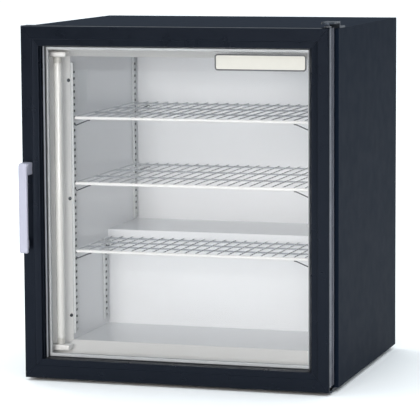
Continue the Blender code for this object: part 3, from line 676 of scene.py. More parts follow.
class DoorSettings(bpy.types.PropertyGroup):
    """Door"""

    face: size("Face width", "Width of a stile's front", 0.0350)
    step: size("Outer flat", "Width of a stile's outer flat", 0.0222)
    rail_more: size("Rail surplus", "How much wider a rail's flats are than a stile's", 0.0030)
    lip: size("Sight line", "From a stile's edge to the glazing bead", 0.0425)
    lip_less: size("Rail sight line", "How much less it is on the rails", 0.0028)
    frame: colour("Frame", "Anodised face of the frame", "0c131e")
    # Pale grey for the stiles' return towards the glass: a painted sheen on the black section
    bright: colour("Bright return", "Bright dipped return towards the glass", "9a9ca2")
    pull: colour("Pull", "Moulding of the pull", "a0a0ae")
    plate: colour("Plate", "Face of the blank nameplate", "b9b7b0")
    border: colour("Border", "Border of the blank nameplate", "4a4b4e")


class MachineSettings(bpy.types.PropertyGroup):
    """Machine compartment"""

    fins: bpy.props.IntProperty(name="Fins", description="Fins on the condenser", default=56, min=8)
    copper: colour("Copper", "Refrigerant lines", "b56a45")


class StageSettings(bpy.types.PropertyGroup):
    """Floor, light and camera"""

    floor: colour("Floor", "Pale studio floor", "fbfbfb")
    lens: bpy.props.FloatProperty(name="Lens", description="Focal length in mm", default=206.71)


# ------------------------------------------------------------------ stage
class MERCH_OT_stage(bpy.types.Operator):
    """Floor, soft studio light and the camera"""

    bl_idname = "merch.stage"
    bl_label = "Stage"

    def execute(self, context):
        options = context.scene.merch_stage
        floor = loose("floor", [block((-14, -9, -0.02), (14, 30, -0.0002))])
        material, tree, shader, place = finish("pale_floor", options.floor, 0.6)
        mottle(tree, shader, place, options.floor, 0.004, 1.5)
        floor.data.materials.append(material)

        world = bpy.data.worlds.new("studio")
        context.scene.world = world
        world.use_nodes = True
        sky = world.node_tree
        sky.nodes.clear()
        seen = node(sky, "ShaderNodeLightPath").outputs["Is Camera Ray"]
        # Light comes from overhead, and the horizon is dim, so the dark paint keeps its depth
        look_up = node(sky, "ShaderNodeTexCoord").outputs["Generated"]
        rise = node(sky, "ShaderNodeSeparateXYZ", {0: look_up}).outputs[2]
        dome = node(
            sky,
            "ShaderNodeMapRange",
            {"Value": rise, "From Min": 0.2, "From Max": 0.8, "To Min": 0.08, "To Max": 1.9},
        )
        mix = node(
            sky, "ShaderNodeMix", {"Factor": seen, 2: dome.outputs[0], 3: 1.3}, data_type="FLOAT"
        )
        cool = {"Color": (0.885, 0.955, 1, 1), "Strength": mix.outputs[0]}
        sheet = node(sky, "ShaderNodeBackground", cool)
        node(sky, "ShaderNodeOutputWorld", {"Surface": sheet.outputs[0]})
        context.scene.view_settings.view_transform = "Standard"

        warm = (1.0, 0.965, 0.93)
        for name, place, target, energy, wide in (
            ("key", (0.0, -4.3, 0.95), (0, 0, 0.35), 90, 1.3),
            ("sheen", (-0.85, -4.5, 1.5), (0.29, -0.25, 0.4), 20, 0.4),
            ("low", (1.2, -3.4, 0.15), (0, 0, 0.65), 20, 0.8),
            ("rear", (-3.0, 2.2, 1.3), (0, 0, 0.35), 40, 1.6),
        ):
            light = bpy.data.lights.new(name, "AREA")
            light.color = warm
            light.energy = energy
            light.size = wide
            lamp = bpy.data.objects.new(name, light)
            lamp.location = place
            # The broad key stays out of reflections, or the glass would mirror it as a white patch
            lamp.visible_glossy = name != "key"
            aim = Vector(target) - Vector(place)
            lamp.rotation_euler = aim.to_track_quat("-Z", "Y").to_euler()
            context.scene.collection.objects.link(lamp)

        yaw, pitch, roll = 0.2999, 0.1210, -0.0058
        ahead = Vector(
            (-math.sin(yaw) * math.cos(pitch), math.cos(yaw) * math.cos(pitch), -math.sin(pitch))
        )
        right = Vector((math.cos(yaw), math.sin(yaw), 0))
        up = right.cross(ahead)
        c, s = math.cos(roll), math.sin(roll)
        right, up = c * right + s * up, c * up - s * right
        view = bpy.data.cameras.new("camera")
        view.lens = options.lens
        view.sensor_width = 36.0
        view.shift_x = -0.00133
        view.shift_y = -0.01048
        camera = bpy.data.objects.new("camera", view)
        spot = Vector((1.4066, DOOR_Y - 4.3071, SKIN[0][2] + 0.8936))
        turn = Matrix((right, up, -ahead)).transposed().to_4x4()
        camera.matrix_world = Matrix.Translation(spot) @ turn
        context.scene.collection.objects.link(camera)
        context.scene.camera = camera
        return {"FINISHED"}


# ------------------------------------------------------------------ outer cabinet
class MERCH_OT_shell(bpy.types.Operator):
    """Enamelled wrapper, zinc panels and the screws that hold them"""

    bl_idname = "merch.shell"
    bl_label = "Outer cabinet"

    def execute(self, context):
        options = context.scene.merch_shell
        paint(["outer_wrapper"], black_enamel())
        paint(["base_pan", "back_panel", "evaporator_plate"], zinc())
        paint(["insulation_foam"], look("cast_foam", moulded_plastic, linear("dccf95"), 0.9, 0.003))
        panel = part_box("back_panel")
        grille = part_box("machine_grille")
        y = panel[1][1]
        turn, edge = (-math.pi / 2, 0, 0), 0.012
        seeds = []
        for sx in (-1, 1):
            for (low, high), shares in ((panel, (0.06, 0.5, 0.94)), (grille, (0.1, 0.9))):
                for share in shares:
                    z = low[2] + share * (high[2] - low[2])
                    seeds.append(((sx * (panel[1][0] - edge), y, z), turn))
        for x in (-0.15, 0.15):
            seeds.append(((x, y, panel[1][2] - edge), turn))
            seeds.append(((x, y, panel[0][2] + edge), turn))
        head = pan_head(options.screw, options.screw * 0.55)
        copies("panel_screws", head, seeds, bright_steel(), slot="steel_bracket")
        return {"FINISHED"}


class MERCH_OT_grille(bpy.types.Operator):
    """Louvre hoods pressed over the slots of the machine grille"""

    bl_idname = "merch.grille"
    bl_label = "Machine grille"

    def execute(self, context):
        options = context.scene.merch_shell
        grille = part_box("machine_grille")
        y = grille[1][1]
        paint(["machine_grille"], black_enamel())
        deep, high = 0.0034, options.louvre
        for side, sx in (("left", -1), ("right", 1)):
            x = sx * grille[1][0] * 0.62
            outline = [(y - 0.0004, 0.0), (y + deep * 0.5, 0.0005), (y + deep, 0.0026)]
            outline += [(y + deep, 0.0034), (y + deep * 0.55, high * 0.72), (y - 0.0004, high)]
            outline += [(y - 0.0004, high - 0.0012), (y + deep * 0.3, high * 0.62)]
            outline += [(y + deep * 0.62, 0.0032), (y + deep * 0.3, 0.0016), (y - 0.0004, 0.0010)]
            hood = loose("hood", [prism(outline, "x", x - 0.0745, x + 0.0745)])
            start = (0, 0, grille[0][2] + 0.0012 + 0.0247)
            pitch = (0, 0, 0.0135)
            row("louvres_" + side, hood, 12, start, pitch, black_enamel(), slot="black_paint")
        return {"FINISHED"}


class MERCH_OT_feet(bpy.types.Operator):
    """Rubber feet with a recess underneath"""

    bl_idname = "merch.feet"
    bl_label = "Feet"

    def execute(self, context):
        for end in ("front", "rear"):
            for side in ("left", "right"):
                name = f"foot_{end}_{side}"
                lo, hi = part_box(name)
                r = (hi[0] - lo[0]) / 2
                at = ((lo[0] + hi[0]) / 2, (lo[1] + hi[1]) / 2, 0)
                high = hi[2]
                profile = [(r * 0.28, high * 0.55), (r * 0.30, 0.0012), (r * 0.36, 0.0)]
                profile += [(r * 0.82, 0.0), (r * 0.9, 0.0008), (r, high), (r * 0.28, high)]
                solid(
                    "rubber_" + name,
                    [turned(profile, at, "z", 40)],
                    [rubber()],
                    stands_for=(name,),
                )
        return {"FINISHED"}


# ------------------------------------------------------------------ storage space
class MERCH_OT_liner(bpy.types.Operator):
    """White liner, the strips round the throat and their screws"""

    bl_idname = "merch.liner"
    bl_label = "Liner and throat"

    def execute(self, context):
        options = context.scene.merch_inside
        enamel = look("white_liner_enamel", stoved_enamel, options.liner, 0.22, 0.004, 0.00001)
        paint(["inner_liner"], enamel)
        names = ["breaker_left", "breaker_right", "breaker_top", "breaker_bottom"]
        paint(names, white_strip())
        sides = ("left", "right")
        paint([f"pilaster_{k}_{s}" for k in ("front", "rear", "low") for s in sides], pilaster_steel())

        lo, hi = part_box("breaker_right")
        thick = 0.002
        front_x, back_x = hi[0] - thick, lo[0]
        slope = math.atan2(front_x - back_x, hi[1] - lo[1])
        mid = (lo[2] + hi[2]) / 2
        away, above, apart = 0.0048, 0.003, 0.232
        y = hi[1] - away * math.cos(slope)
        seeds = []
        for sx in (-1, 1):
            x = sx * (back_x + away * math.sin(slope))
            normal = Vector((-sx * math.cos(slope), -math.sin(slope), 0))
            turn = tuple(normal.to_track_quat("Z", "Y").to_euler())
            seeds += [((x, y, mid + above + k * apart), turn) for k in (-1, 0, 1)]
        copies("strip_screws", pan_head(0.0036, 0.0022), seeds, dark_steel(), slot="steel_bracket")

        # Dark sheets behind the pilasters' slots: painted shade that stands in for the depth of the
        # channels
        shade = look("slot_shadow", soft_rubber, linear("2c3034"))
        shapes = []
        for kind in ("front", "rear", "low"):
            for side, sx in (("left", -1), ("right", 1)):
                low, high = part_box(f"pilaster_{kind}_{side}")
                face = min(abs(low[0]), abs(high[0])) + 0.0012
                ends = sorted((sx * face, sx * (face + 0.0006)))
                middle = (low[1] + high[1]) / 2
                z0, z1 = low[2] + 0.010, high[2] - 0.010
                shapes.append(block((ends[0], middle - 0.0052, z0), (ends[1], middle + 0.0052, z1)))
        solid("slot_backing", shapes, [shade])

        # Blank rating label, stuck high on the left wall
        wall = -(LINER[1][0] - 0.0015) + 0.0002
        outline = rounded_box_outline(0.0, 0.052, 0.0, 0.066, 0.003)
        y0, z0 = LINER[0][1] + 0.045, LINER[1][2] - 0.098
        shape = prism([(y0 + a, z0 + b) for a, b in outline], "x", wall, wall + 0.0003)
        film = look("silver_label_film", printed_plate, linear("d9dde0"))
        solid("blank_label", [shape], [film])
        return {"FINISHED"}


class MERCH_OT_shelves(bpy.types.Operator):
    """Three wire shelves"""

    bl_idname = "merch.shelves"
    bl_label = "Shelves"

    def execute(self, context):
        options = context.scene.merch_inside
        tree = shelf_tree()
        coat = look("white_epoxy_wire", epoxy_coat, options.wire)
        # Grey copy of the white coat: painted shade on the wires behind the rail
        shaded_coat = look("grey_epoxy_wire", epoxy_coat, options.mesh)
        r, w, rod = options.rail_radius, options.wire_radius, options.rod_radius
        rods = 3
        rails, highlight_spots = [], []
        for name in ("shelf_top", "shelf_middle", "shelf_bottom"):
            lo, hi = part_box(name)
            y, z = lo[1] + r, lo[2] + r
            path = [(x, y, z) for x in (lo[0], lo[0] + r * 0.3, lo[0] + r * 0.9)]
            path += [(x, y, z) for x in (hi[0] - r * 0.9, hi[0] - r * 0.3, hi[0])]
            rails.append(sweep(path, [r * 0.45, r * 0.85, r, r, r * 0.85, r * 0.45], 18))
            left = lo[0] + 2 * r
            step = (hi[0] - lo[0] - 4 * r) / (options.wires - 1)
            gap = (hi[1] - lo[1] - 4 * rod) / rods
            rod_z = lo[2] + 2 * r - rod - 0.0002
            values = {
                "Wire Count": options.wires,
                "Wire Radius": w,
                "Wire From": (0.0, r * 0.5, 0.0),
                "Wire To": (0.0, hi[1] - lo[1], 0.0),
                "Wire Start": (left, lo[1], rod_z + rod + w * 0.8),
                "Wire Step": (step, 0.0, 0.0),
                "Rod Count": rods,
                "Rod Radius": rod,
                "Rod From": (0.0, 0.0, 0.0),
                "Rod To": (hi[0] - lo[0], 0.0, 0.0),
                "Rod Start": (lo[0], lo[1] + gap, rod_z),
                "Rod Step": (0.0, gap, 0.0),
                "Material": shaded_coat,
            }
            settle(grow("wire_" + name, tree, values), "cabinet", (name,), 60)
            top = lo[2] + 2 * r + w * 1.3
            for k in range(options.wires):
                highlight_spots += [((left + k * step, lo[1] + n * gap, top), (0, 0, 0)) for n in (1, 2)]
        solid("shelf_front_rails", rails, [coat], angle=60)
        # Where a wire crosses a rod, its coat stands up in a small bead; the beads take the white rail
        # coat over the grey wires, as painted highlights
        bead = [(w * 0.3, -0.0034), (w * 0.95, -0.002), (w * 1.15, 0)]
        bead += [(w * 0.95, 0.002), (w * 0.3, 0.0034)]
        crown = loose("weld", [turned(bead, (0, 0, 0), "y", 8)])
        copies("shelf_weld_crowns", crown, highlight_spots, coat, slot="white_wire", angle=60)
        return {"FINISHED"}


class MERCH_OT_clips(bpy.types.Operator):
    """Dark wire clips, hooked in the pilasters under the shelf corners"""

    bl_idname = "merch.clips"
    bl_label = "Shelf clips"

    def execute(self, context):
        reach = context.scene.merch_inside.clip
        drop = reach * 0.39
        corners = [(-0.004, 0, -drop + 0.0035), (0.0006, 0, -drop + 0.0035), (0.0014, 0, -drop)]
        corners += [(reach, 0, 0), (reach + 0.004, 0, 0)]
        path = rounded(corners, 0.002)
        seeds = []
        for name in ("shelf_top", "shelf_middle", "shelf_bottom"):
            lo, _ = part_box(name)
            rear = "low" if name == "shelf_bottom" else "rear"
            for kind in ("front", rear):
                for side, sx in (("left", 1), ("right", -1)):
                    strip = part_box(f"pilaster_{kind}_{side}")
                    x = strip[1][0] if side == "left" else strip[0][0]
                    y = (strip[0][1] + strip[1][1]) / 2
                    turn = (0, 0, 0) if sx > 0 else (0, 0, math.pi)
                    seeds.append(((x, y, lo[2] - 0.0016), turn))
        clip = loose("clip", [sweep(path, 0.0012, 8)])
        copies("shelf_clips", clip, seeds, dark_steel(), slot="steel_bracket", angle=60)
        return {"FINISHED"}


class MERCH_OT_lamp(bpy.types.Operator):
    """Lamp tube with its caps, holders and channel"""

    bl_idname = "merch.lamp"
    bl_label = "Lamp"

    def execute(self, context):
        options = context.scene.merch_inside
        paint(["lamp_tube"], look("lamp_phosphor", lamp_phosphor, linear("dededb"), options.glow))
        lo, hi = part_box("lamp_tube")
        r = (hi[0] - lo[0]) / 2
        at = ((lo[0] + hi[0]) / 2, (lo[1] + hi[1]) / 2, 0)
        metal = look("lamp_cap_aluminium", drawn_metal, linear("d6d5d0"), "z", 0.5, 0.35)
        for name, sign in (("lamp_cap_bottom", -1), ("lamp_cap_top", 1)):
            low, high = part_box(name)
            near, far = (high[2], low[2]) if sign < 0 else (low[2], high[2])
            profile = [(r * 0.97, near), (r, near + sign * 0.0006), (r, near + sign * 0.0024)]
            profile += [(r * 0.93, near + sign * 0.003), (r * 0.93, near + sign * 0.0036)]
            profile += [(r, near + sign * 0.0042), (r, far - sign * 0.001), (r * 0.9, far)]
            solid(
                "ferrule_" + name,
                [turned(profile, at, "z", 32)],
                [metal],
                stands_for=(name,),
            )
        vinyl = white_strip()
        for name in ("lamp_holder_bottom", "lamp_holder_top"):
            piece = frame["nodes"][name]
            copy = bpy.data.objects.new("moulded_" + name, piece.data.copy())
            bpy.context.scene.collection.objects.link(copy)
            cleaned = bmesh.new()
            cleaned.from_mesh(copy.data)
            bmesh.ops.remove_doubles(cleaned, verts=cleaned.verts, dist=0.00001)
            bmesh.ops.dissolve_limit(
                cleaned, angle_limit=0.02, verts=cleaned.verts, edges=cleaned.edges
            )
            cleaned.to_mesh(copy.data)
            cleaned.free()
            copy.data.materials.clear()
            copy.data.materials.append(vinyl)
            soften(copy, 0.0022, 3)
            settle(copy, "cabinet", (name,), 40)
        paint(["lamp_channel"], vinyl)
        return {"FINISHED"}


# ------------------------------------------------------------------ door
def door_profile(options):
    """The frame's section as (u in a stile, u in a rail, v backwards, finish) points, u inwards
    from the door's edge; finish 0 is black, 1 bare metal and 2 the return towards the glass,
    which on the stiles is pale grey, a painted sheen."""
    back = DOOR_BACK - DOOR_Y
    seat = PANE[0][1] - DOOR_Y - 0.0015
    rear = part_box("glass_inner")[1][1] - DOOR_Y + 0.0003
    rebate = DOOR_X - PANE[1][0] - 0.001
    step, face, more = options.step, options.face, options.rail_more
    lip, low_lip = options.lip, options.lip - options.lip_less
    front = [
        (0.0028, 0.0028, 0.0),
        (step - 0.0006, step + more - 0.0006, 0.0),
        (step, step + more, 0.0003),
        (step + 0.0012, step + more + 0.0006, 0.0016),
        (step + 0.0022, step + more + 0.0012, 0.0020),
        (face - 0.0010, face + more - 0.0010, 0.0020),
        (face, face + more, 0.0025),
        (face + 0.0010, face + more + 0.0003, 0.0040),
        (face + 0.0026, face + more + 0.0006, 0.0074),
        (face + 0.0032, face + more + 0.0007, 0.0078),
        (face + 0.0037, face + more + 0.0008, 0.0078),
        (face + 0.0060, face + more + 0.0013, 0.0128),
        (lip - 0.0004, low_lip - 0.0002, seat - 0.0022),
        (lip, low_lip, seat - 0.0014),
        (lip, low_lip, seat),
    ]
    rear_part = [
        (rebate, seat, 0),
        (rebate, rear, 0),
        (lip - 0.002, rear, 0),
        (lip - 0.002, back, 0),
        (0.0012, back, 1),
        (0.0, back - 0.0012, 1),
        (0.0, back - 0.0085, 0),
        (0.0016, back - 0.0093, 0),
        (0.0016, back - 0.0137, 0),
        (0.0, back - 0.0145, 1),
        (0.0, back - 0.0205, 0),
        (0.0016, back - 0.0213, 0),
        (0.0016, back - 0.0257, 0),
        (0.0, back - 0.0265, 1),
        (0.0, 0.0055, 0),
        (0.0, 0.0030, 0),
        (0.0009, 0.0009, 0),
    ]
    # Faces 11 and 12 are the return towards the glass, which takes the painted sheen on the stiles
    gloss = {11, 12}
    shown = [(s, r, v, 2 if k in gloss else 0) for k, (s, r, v) in enumerate(front)]
    return shown + [(u, u, v, m) for u, v, m in rear_part]


class MERCH_OT_door_frame(bpy.types.Operator):
    """Four mitred lengths of the anodised door section"""

    bl_idname = "merch.door_frame"
    bl_label = "Door frame"

    def execute(self, context):
        options = context.scene.merch_door
        profile = door_profile(options)
        gap = 0.0002
        cutout = block(
            (AXIS.x - 0.013, AXIS.y - 0.0145, DOOR_Z0 - 0.01),
            (DOOR_X + 0.01, DOOR_BACK + 0.01, DOOR_Z0 + 0.011),
        )
        for name, side in (
            ("door_rail_top", "top"),
            ("door_rail_bottom", "bottom"),
            ("door_stile_left", "left"),
            ("door_stile_right", "right"),
        ):
            stile = side in ("left", "right")
            marks = [mark for _, _, _, mark in profile]
            low, high = [], []
            for s, r, v, _ in profile:
                y = DOOR_Y + v
                if stile:
                    x = (DOOR_X - s) * (-1 if side == "left" else 1)
                    low.append((x, y, DOOR_Z0 + r + gap))
                    high.append((x, y, DOOR_Z1 - r - gap))
                else:
                    z = DOOR_Z0 + r if side == "bottom" else DOOR_Z1 - r
                    low.append((-DOOR_X + s + gap, y, z))
                    high.append((DOOR_X - s - gap, y, z))
            along = "z" if stile else "x"
            black = look("black_anodised_" + along, drawn_metal, options.frame, along, 0.3, 0.75)
            # Pale grey copy of the frame for the stiles' return: a painted sheen; the rails keep the
            # black
            gloss = look("bright_dipped_return", drawn_metal, options.bright, "z", 0.35, 0.25)
            piece = solid(
                "extruded_" + name,
                [loft([low, high], marks)],
                [black, bare_aluminium() if stile else black_enamel(), gloss if stile else black],
                angle=24,
                body="door",
                stands_for=(name,),
            )
            if side in ("bottom", "right"):
                carve(piece, cutout)
                piece.data.set_sharp_from_angle(angle=math.radians(24))
        return {"FINISHED"}


class MERCH_OT_glazing(bpy.types.Operator):
    """Two panes, the spacer between them and the bead in front"""

    bl_idname = "merch.glazing"
    bl_label = "Glazing"

    def execute(self, context):
        clear = look("tempered_float_glass", float_glass, (1.0, 1.0, 1.0))
        paint(["glass_outer", "glass_inner"], clear)
        paint(["glass_spacer"], look("spacer_bar", drawn_metal, linear("c2c5c8"), "z", 0.5, 0.3))
        lo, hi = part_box("glazing_bead")
        options = context.scene.merch_door
        wide = options.lip + 0.0018 - (DOOR_X - hi[0])
        tall = wide - options.lip_less
        front = lo[1] - 0.0006
        loops = []
        for back_off, y in (
            (None, hi[1]),
            (None, lo[1]),
            (0.0015, lo[1]),
            (0.0012, front),
            (0.0004, front + 0.0003),
            (0.0, hi[1] - 0.0002),
            (0.0, hi[1]),
        ):
            dx = 0.0 if back_off is None else wide - back_off
            dz = 0.0 if back_off is None else tall - back_off
            x, z0, z1 = hi[0] - dx, lo[2] + dz, hi[2] - dz
            loops.append(frame_outline(x, y, z0, z1))
        solid(
            "moulded_glazing_bead",
            [ring(loops)],
            [rubber()],
            angle=50,
            body="door",
            stands_for=("glazing_bead",),
        )
        return {"FINISHED"}


class MERCH_OT_gasket(bpy.types.Operator):
    """Magnetic gasket with its bellows, all round the door's back"""

    bl_idname = "merch.gasket"
    bl_label = "Door gasket"

    def execute(self, context):
        lo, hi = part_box("door_gasket")
        y0, y1 = lo[1], hi[1]
        wide = 0.013
        tall = y1 - y0
        section = [(0.0030, 0.0), (0.0012, 0.18), (0.0024, 0.30), (0.0004, 0.44), (0.0016, 0.58)]
        section += [(0.0, 0.72), (0.0, 0.94), (0.0006, 1.0)]
        section += [(wide - 0.0006, 1.0), (wide, 0.94), (wide, 0.70), (wide - 0.0026, 0.55)]
        section += [(wide - 0.0010, 0.40), (wide - 0.0030, 0.22), (wide - 0.0030, 0.0)]
        loops = []
        for out, share in section:
            x, z0, z1 = hi[0] - out, lo[2] + out, hi[2] - out
            loops.append(frame_outline(x, y0 + share * tall, z0, z1))
        solid(
            "bellows_gasket",
            [ring(loops)],
            [rubber()],
            angle=50,
            body="door",
            stands_for=("door_gasket",),
        )
        return {"FINISHED"}


class MERCH_OT_pull(bpy.types.Operator):
    """Moulded pull on the door's left edge"""

    bl_idname = "merch.pull"
    bl_label = "Pull"

    def execute(self, context):
        options = context.scene.merch_door
        lo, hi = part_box("door_pull")
        front, base = lo[1], hi[1]
        z0, z1 = lo[2], hi[2]
        grip, post = 0.009, 0.024
        wide = hi[0] - lo[0]
        outline = [
            (base, z1),
            (front + 0.004, z1),
            (front, z1 - 0.005),
            (front, z0 + 0.003),
            (front + 0.004, z0),
            (base, z0 + 0.006),
            (base, z0 + post),
            (front + grip, z0 + post),
            (front + grip, z1 - post),
            (base, z1 - post),
        ]
        satin = look("silver_moulded_pull", moulded_plastic, options.pull, 0.32, 0.002, 0.00001, 0.2)
        piece = loose("silver_pull", [prism(outline, "x", lo[0], hi[0])])
        carve(
            piece,
            block((lo[0] + wide / 2, front + grip, z0 - 0.1), (1, base + 0.01, z0 + post + 0.01)),
        )
        piece.data.materials.clear()
        piece.data.materials.append(satin)
        soften(piece, 0.0028, 4)
        settle(piece, "door", ("door_pull",), 60)
        return {"FINISHED"}


class MERCH_OT_plate(bpy.types.Operator):
    """Blank nameplate: a pale face in a raised dark border"""

    bl_idname = "merch.plate"
    bl_label = "Nameplate"

    def execute(self, context):
        options = context.scene.merch_door
        lo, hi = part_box("nameplate")
        face, back = lo[1], hi[1]
        rings = []
        for inset, y, r in (
            (0.0, back, 0.006),
            (0.0, face + 0.0003, 0.006),
            (0.0003, face, 0.0057),
            (0.0023, face, 0.0037),
            (0.0026, face + 0.0004, 0.0034),
        ):
            outline = rounded_box_outline(
                lo[0] + inset, hi[0] - inset, lo[2] + inset, hi[2] - inset, r
            )
            rings.append([(x, y, z) for x, z in outline])
        points, faces, _ = loft(rings)
        marks = [0] * len(faces)
        marks[-1] = 1
        pale = look("plate_print", printed_plate, options.plate)
        dark = look("plate_border", printed_plate, options.border)
        solid(
            "blank_nameplate",
            [(points, faces, marks)],
            [dark, pale],
            body="door",
            stands_for=("nameplate",),
        )
        return {"FINISHED"}


class MERCH_OT_hinges(bpy.types.Operator):
    """Plated hinge brackets, washers and screws"""

    bl_idname = "merch.hinges"
    bl_label = "Hinges"

    def execute(self, context):
        steel = dark_steel()
        paint(["hinge_bracket_top", "hinge_bracket_bottom"], steel)
        paint(["hinge_washer_top", "hinge_washer_bottom"], bright_steel())
        _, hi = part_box("hinge_bracket_top")
        deck = SKIN[1][2] + 0.0003 + 0.0035
        seeds = [((AXIS.x, hi[1] - back, deck), (0, 0, 0)) for back in (0.011, 0.027)]
        copies("hinge_screws", pan_head(0.0046, 0.0026), seeds, bright_steel(), slot="steel_bracket")
        return {"FINISHED"}


# ------------------------------------------------------------------ machine compartment
class MERCH_OT_condenser(bpy.types.Operator):
    """Condenser with its stack of fins on looped tubes"""

    bl_idname = "merch.condenser"
    bl_label = "Condenser"

    def execute(self, context):
        options = context.scene.merch_machine
        lo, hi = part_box("condenser_coil")
        y0, y1 = lo[1] + 0.008, hi[1] - 0.008
        fin = loose("fin", [block((lo[0], -0.00015, lo[2]), (hi[0], 0.00015, hi[2]))])
        metal = look("fin_aluminium", drawn_metal, linear("b9bdc2"), "z", 0.3)
        step = (y1 - y0) / (options.fins - 1)
        row(
            "condenser_fins",
            fin,
            options.fins,
            (0, y0, 0),
            (0, step, 0),
            metal,
            slot="aluminium",
            stands_for=("condenser_coil",),
        )
        copper = look("drawn_copper", plated_metal, options.copper, 0.28)
        shapes = []
        high = hi[2] - lo[2]
        zs = [lo[2] + high * (0.1 + 0.16 * k) for k in range(6)]
        for x in (lo[0] + 0.012, lo[0] + 0.033):
            corners = []
            for k, z in enumerate(zs):
                ends = (lo[1] + 0.003, hi[1] - 0.003) if k % 2 == 0 else (hi[1] - 0.003, lo[1] + 0.003)
                corners += [(x, ends[0], z), (x, ends[1], z)]
            shapes.append(sweep(rounded(corners, 0.006, 4), 0.0032, 8))
        solid("condenser_tubes", shapes, [copper], angle=60)
        return {"FINISHED"}


class MERCH_OT_compressor(bpy.types.Operator):
    """Compressor shell with its weld seam, plate, grommets and cover"""

    bl_idname = "merch.compressor"
    bl_label = "Compressor"

    def execute(self, context):
        lo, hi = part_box("compressor")
        cx, cy = (lo[0] + hi[0]) / 2, (lo[1] + hi[1]) / 2
        r = 0.066
        base = lo[2] + 0.016
        tall = hi[2] - base
        profile = [(r * 0.30, base), (r * 0.75, base + 0.001), (r * 0.93, base + tall * 0.05)]
        profile += [(r * 0.985, base + tall * 0.14), (r * 0.985, base + tall * 0.50)]
        profile += [(r, base + tall * 0.505), (r, base + tall * 0.53), (r * 0.985, base + tall * 0.535)]
        profile += [(r * 0.97, base + tall * 0.66), (r * 0.90, base + tall * 0.80)]
        profile += [(r * 0.74, base + tall * 0.92), (r * 0.48, base + tall * 0.98), (r * 0.1, hi[2])]
        gloss = look("gloss_black_enamel", stoved_enamel, linear("1c2026"), 0.25, 0.003)
        plate = prism(
            rounded_box_outline(lo[0], hi[0], lo[1], hi[1], 0.012), "z", base - 0.0025, base + 0.0005
        )
        solid(
            "compressor_shell",
            [turned(profile, (cx, cy, 0), "z", 56), plate],
            [gloss],
            stands_for=("compressor",),
        )
        seeds = [
            ((cx + sx * r, cy + sy * r * 0.75, lo[2]), (0, 0, 0)) for sx in (-1, 1) for sy in (-1, 1)
        ]
        high = base - 0.0025 - lo[2]
        waist = [(0.008, 0), (0.009, 0.001), (0.0075, high * 0.5), (0.009, high - 0.001)]
        waist += [(0.008, high - 0.0001)]
        grommet = loose("grommet", [turned(waist, (0, 0, 0), "z", 20)])
        copies("compressor_grommets", grommet, seeds, rubber(), slot="black_rubber")
        paint(["terminal_cover"], dark_plastic())
        return {"FINISHED"}


class MERCH_OT_fan(bpy.types.Operator):
    """Condenser fan: pitched blades, motor, bracket and shroud"""

    bl_idname = "merch.fan"
    bl_label = "Fan"

    def execute(self, context):
        lo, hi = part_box("fan_blade")
        centre = Vector([(a + b) / 2 for a, b in zip(lo, hi)])
        reach = (hi[2] - lo[2]) / 2
        half = (hi[0] - lo[0]) / 2
        shapes = []
        hub = [(0.0032, -half), (0.013, -half), (0.016, -half * 0.7), (0.016, half * 0.8)]
        hub += [(0.0145, half), (0.0032, half)]
        points, faces, _ = turned(hub, centre, "x", 36)
        count = len(points)
        faces = faces[:-2] + [
            (count - 36 + k, count - 36 + (k + 1) % 36, (k + 1) % 36, k) for k in range(36)
        ]
        shapes.append((points, faces, [0] * len(faces)))
        for blade in range(4):
            spin = Matrix.Rotation(math.tau * blade / 4, 4, "X")
            loops = []
            for s in range(9):
                r = 0.0145 + (reach - 0.0145) * s / 8
                chord = 0.024 + 0.012 * math.sin(math.pi * min(1, s / 8) * 0.8)
                pitch = math.radians(42 - 16 * s / 8)
                loop = []
                for t, side in [(k / 6, 1) for k in range(7)] + [(1 - k / 6, -1) for k in range(7)]:
                    across = (t - 0.5) * chord
                    camber = 0.0022 * math.sin(math.pi * t) + side * 0.0005
                    x = across * math.sin(pitch) + camber * math.cos(pitch)
                    y = across * math.cos(pitch) - camber * math.sin(pitch)
                    loop.append(centre + spin @ Vector((x, y, math.sqrt(max(r * r - y * y, 1e-6)))))
                loops.append(loop)
            shapes.append(loft(loops))
        metal = look("fan_aluminium", plated_metal, linear("a8abb0"), 0.35)
        solid(
            "pressed_fan_blade",
            shapes,
            [metal],
            angle=40,
            body="fan",
            stands_for=("fan_blade",),
        )
        paint(["fan_motor"], look("motor_enamel", stoved_enamel, linear("2b2f34"), 0.4))
        paint(["fan_bracket", "fan_shroud"], zinc())
        return {"FINISHED"}


class MERCH_OT_machinery(bpy.types.Operator):
    """Lines with the filter drier, pan, ballast and inlet gland"""

    bl_idname = "merch.machinery"
    bl_label = "Lines and fittings"

    def execute(self, context):
        copper = look("drawn_copper", plated_metal, context.scene.merch_machine.copper, 0.28)
        paint(["refrigerant_lines"], copper)
        paint(["drain_pan"], zinc())
        paint(["lamp_ballast"], look("ballast_enamel", stoved_enamel, linear("d7d8d6"), 0.4))
        paint(["inlet_gland"], dark_plastic())
        return {"FINISHED"}


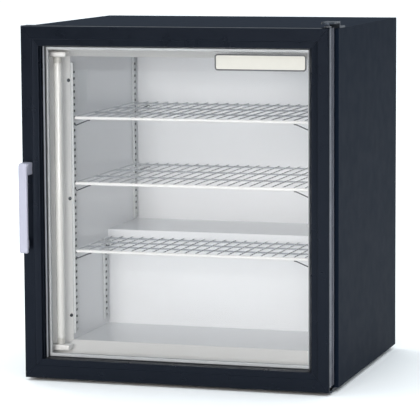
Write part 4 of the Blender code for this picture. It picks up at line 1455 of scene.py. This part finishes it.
class MERCH_OT_controls(bpy.types.Operator):
    """Recessed tray with the thermostat knob and the lamp switch"""

    bl_idname = "merch.controls"
    bl_label = "Controls"

    def execute(self, context):
        paint(["control_tray"], black_enamel())
        paint(["thermostat_body"], zinc())
        lo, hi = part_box("thermostat_knob")
        joint = next(j for j in frame["joints"] if j["name"] == "thermostat_turn")
        cx, _, cz = joint["pos_m"]
        y0 = lo[1]
        r = (hi[0] - lo[0]) / 2
        outline = []
        for k in range(96):
            a = math.tau * k / 96
            ripple = 1 - 0.045 * (0.5 + 0.5 * math.cos(24 * a))
            outline.append((cx + r * ripple * math.cos(a), cz + r * ripple * math.sin(a)))
        knob = loose("knob", [prism(outline, "y", y0, y0 + 0.0118)])
        carve(knob, turned([(0.0031, -0.01), (0.0031, 0.0093)], (cx, y0, cz), "y", 24))
        knob.data.materials.clear()
        knob.data.materials.append(dark_plastic())
        settle(knob, "knob", ("thermostat_knob",), 40)
        knob.name = "ribbed_thermostat_knob"
        solid(
            "knob_pointer",
            [
                block(
                    (cx - 0.0012, y0 + 0.0118, cz + r * 0.25),
                    (cx + 0.0012, y0 + 0.0123, cz + r * 0.9),
                )
            ],
            [look("white_dial_ink", printed_plate, linear("e9e9e6"))],
            body="knob",
        )
        paint(["lamp_rocker"], dark_plastic())
        return {"FINISHED"}


# ------------------------------------------------------------------ panel and registration
STEPS = (
    MERCH_OT_stage,
    MERCH_OT_shell,
    MERCH_OT_grille,
    MERCH_OT_feet,
    MERCH_OT_liner,
    MERCH_OT_shelves,
    MERCH_OT_clips,
    MERCH_OT_lamp,
    MERCH_OT_door_frame,
    MERCH_OT_glazing,
    MERCH_OT_gasket,
    MERCH_OT_pull,
    MERCH_OT_plate,
    MERCH_OT_hinges,
    MERCH_OT_condenser,
    MERCH_OT_compressor,
    MERCH_OT_fan,
    MERCH_OT_machinery,
    MERCH_OT_controls,
)
SETTINGS = {
    "merch_shell": ShellSettings,
    "merch_inside": InsideSettings,
    "merch_door": DoorSettings,
    "merch_machine": MachineSettings,
    "merch_stage": StageSettings,
}


class MERCH_PT_panel(bpy.types.Panel):
    """Lists the steps and their settings"""

    bl_idname = "MERCH_PT_panel"
    bl_label = "Merchandiser"
    bl_space_type = "VIEW_3D"
    bl_region_type = "UI"
    bl_category = "Merchandiser"

    def draw(self, context):
        for name, group in SETTINGS.items():
            box = self.layout.box()
            box.label(text=group.__doc__)
            for key in group.__annotations__:
                box.prop(getattr(context.scene, name), key)
        for step in STEPS:
            self.layout.operator(step.bl_idname)


def register():
    for group in SETTINGS.values():
        bpy.utils.register_class(group)
    for name, group in SETTINGS.items():
        setattr(bpy.types.Scene, name, bpy.props.PointerProperty(type=group))
    for step in (*STEPS, MERCH_PT_panel):
        bpy.utils.register_class(step)


def unregister():
    for step in (MERCH_PT_panel, *reversed(STEPS)):
        bpy.utils.unregister_class(step)
    for name, group in SETTINGS.items():
        delattr(bpy.types.Scene, name)
        bpy.utils.unregister_class(group)


def main():
    register()
    for step in STEPS:
        family, name = step.bl_idname.split(".")
        getattr(getattr(bpy.ops, family), name)()


if __name__ == "__main__":
    main()
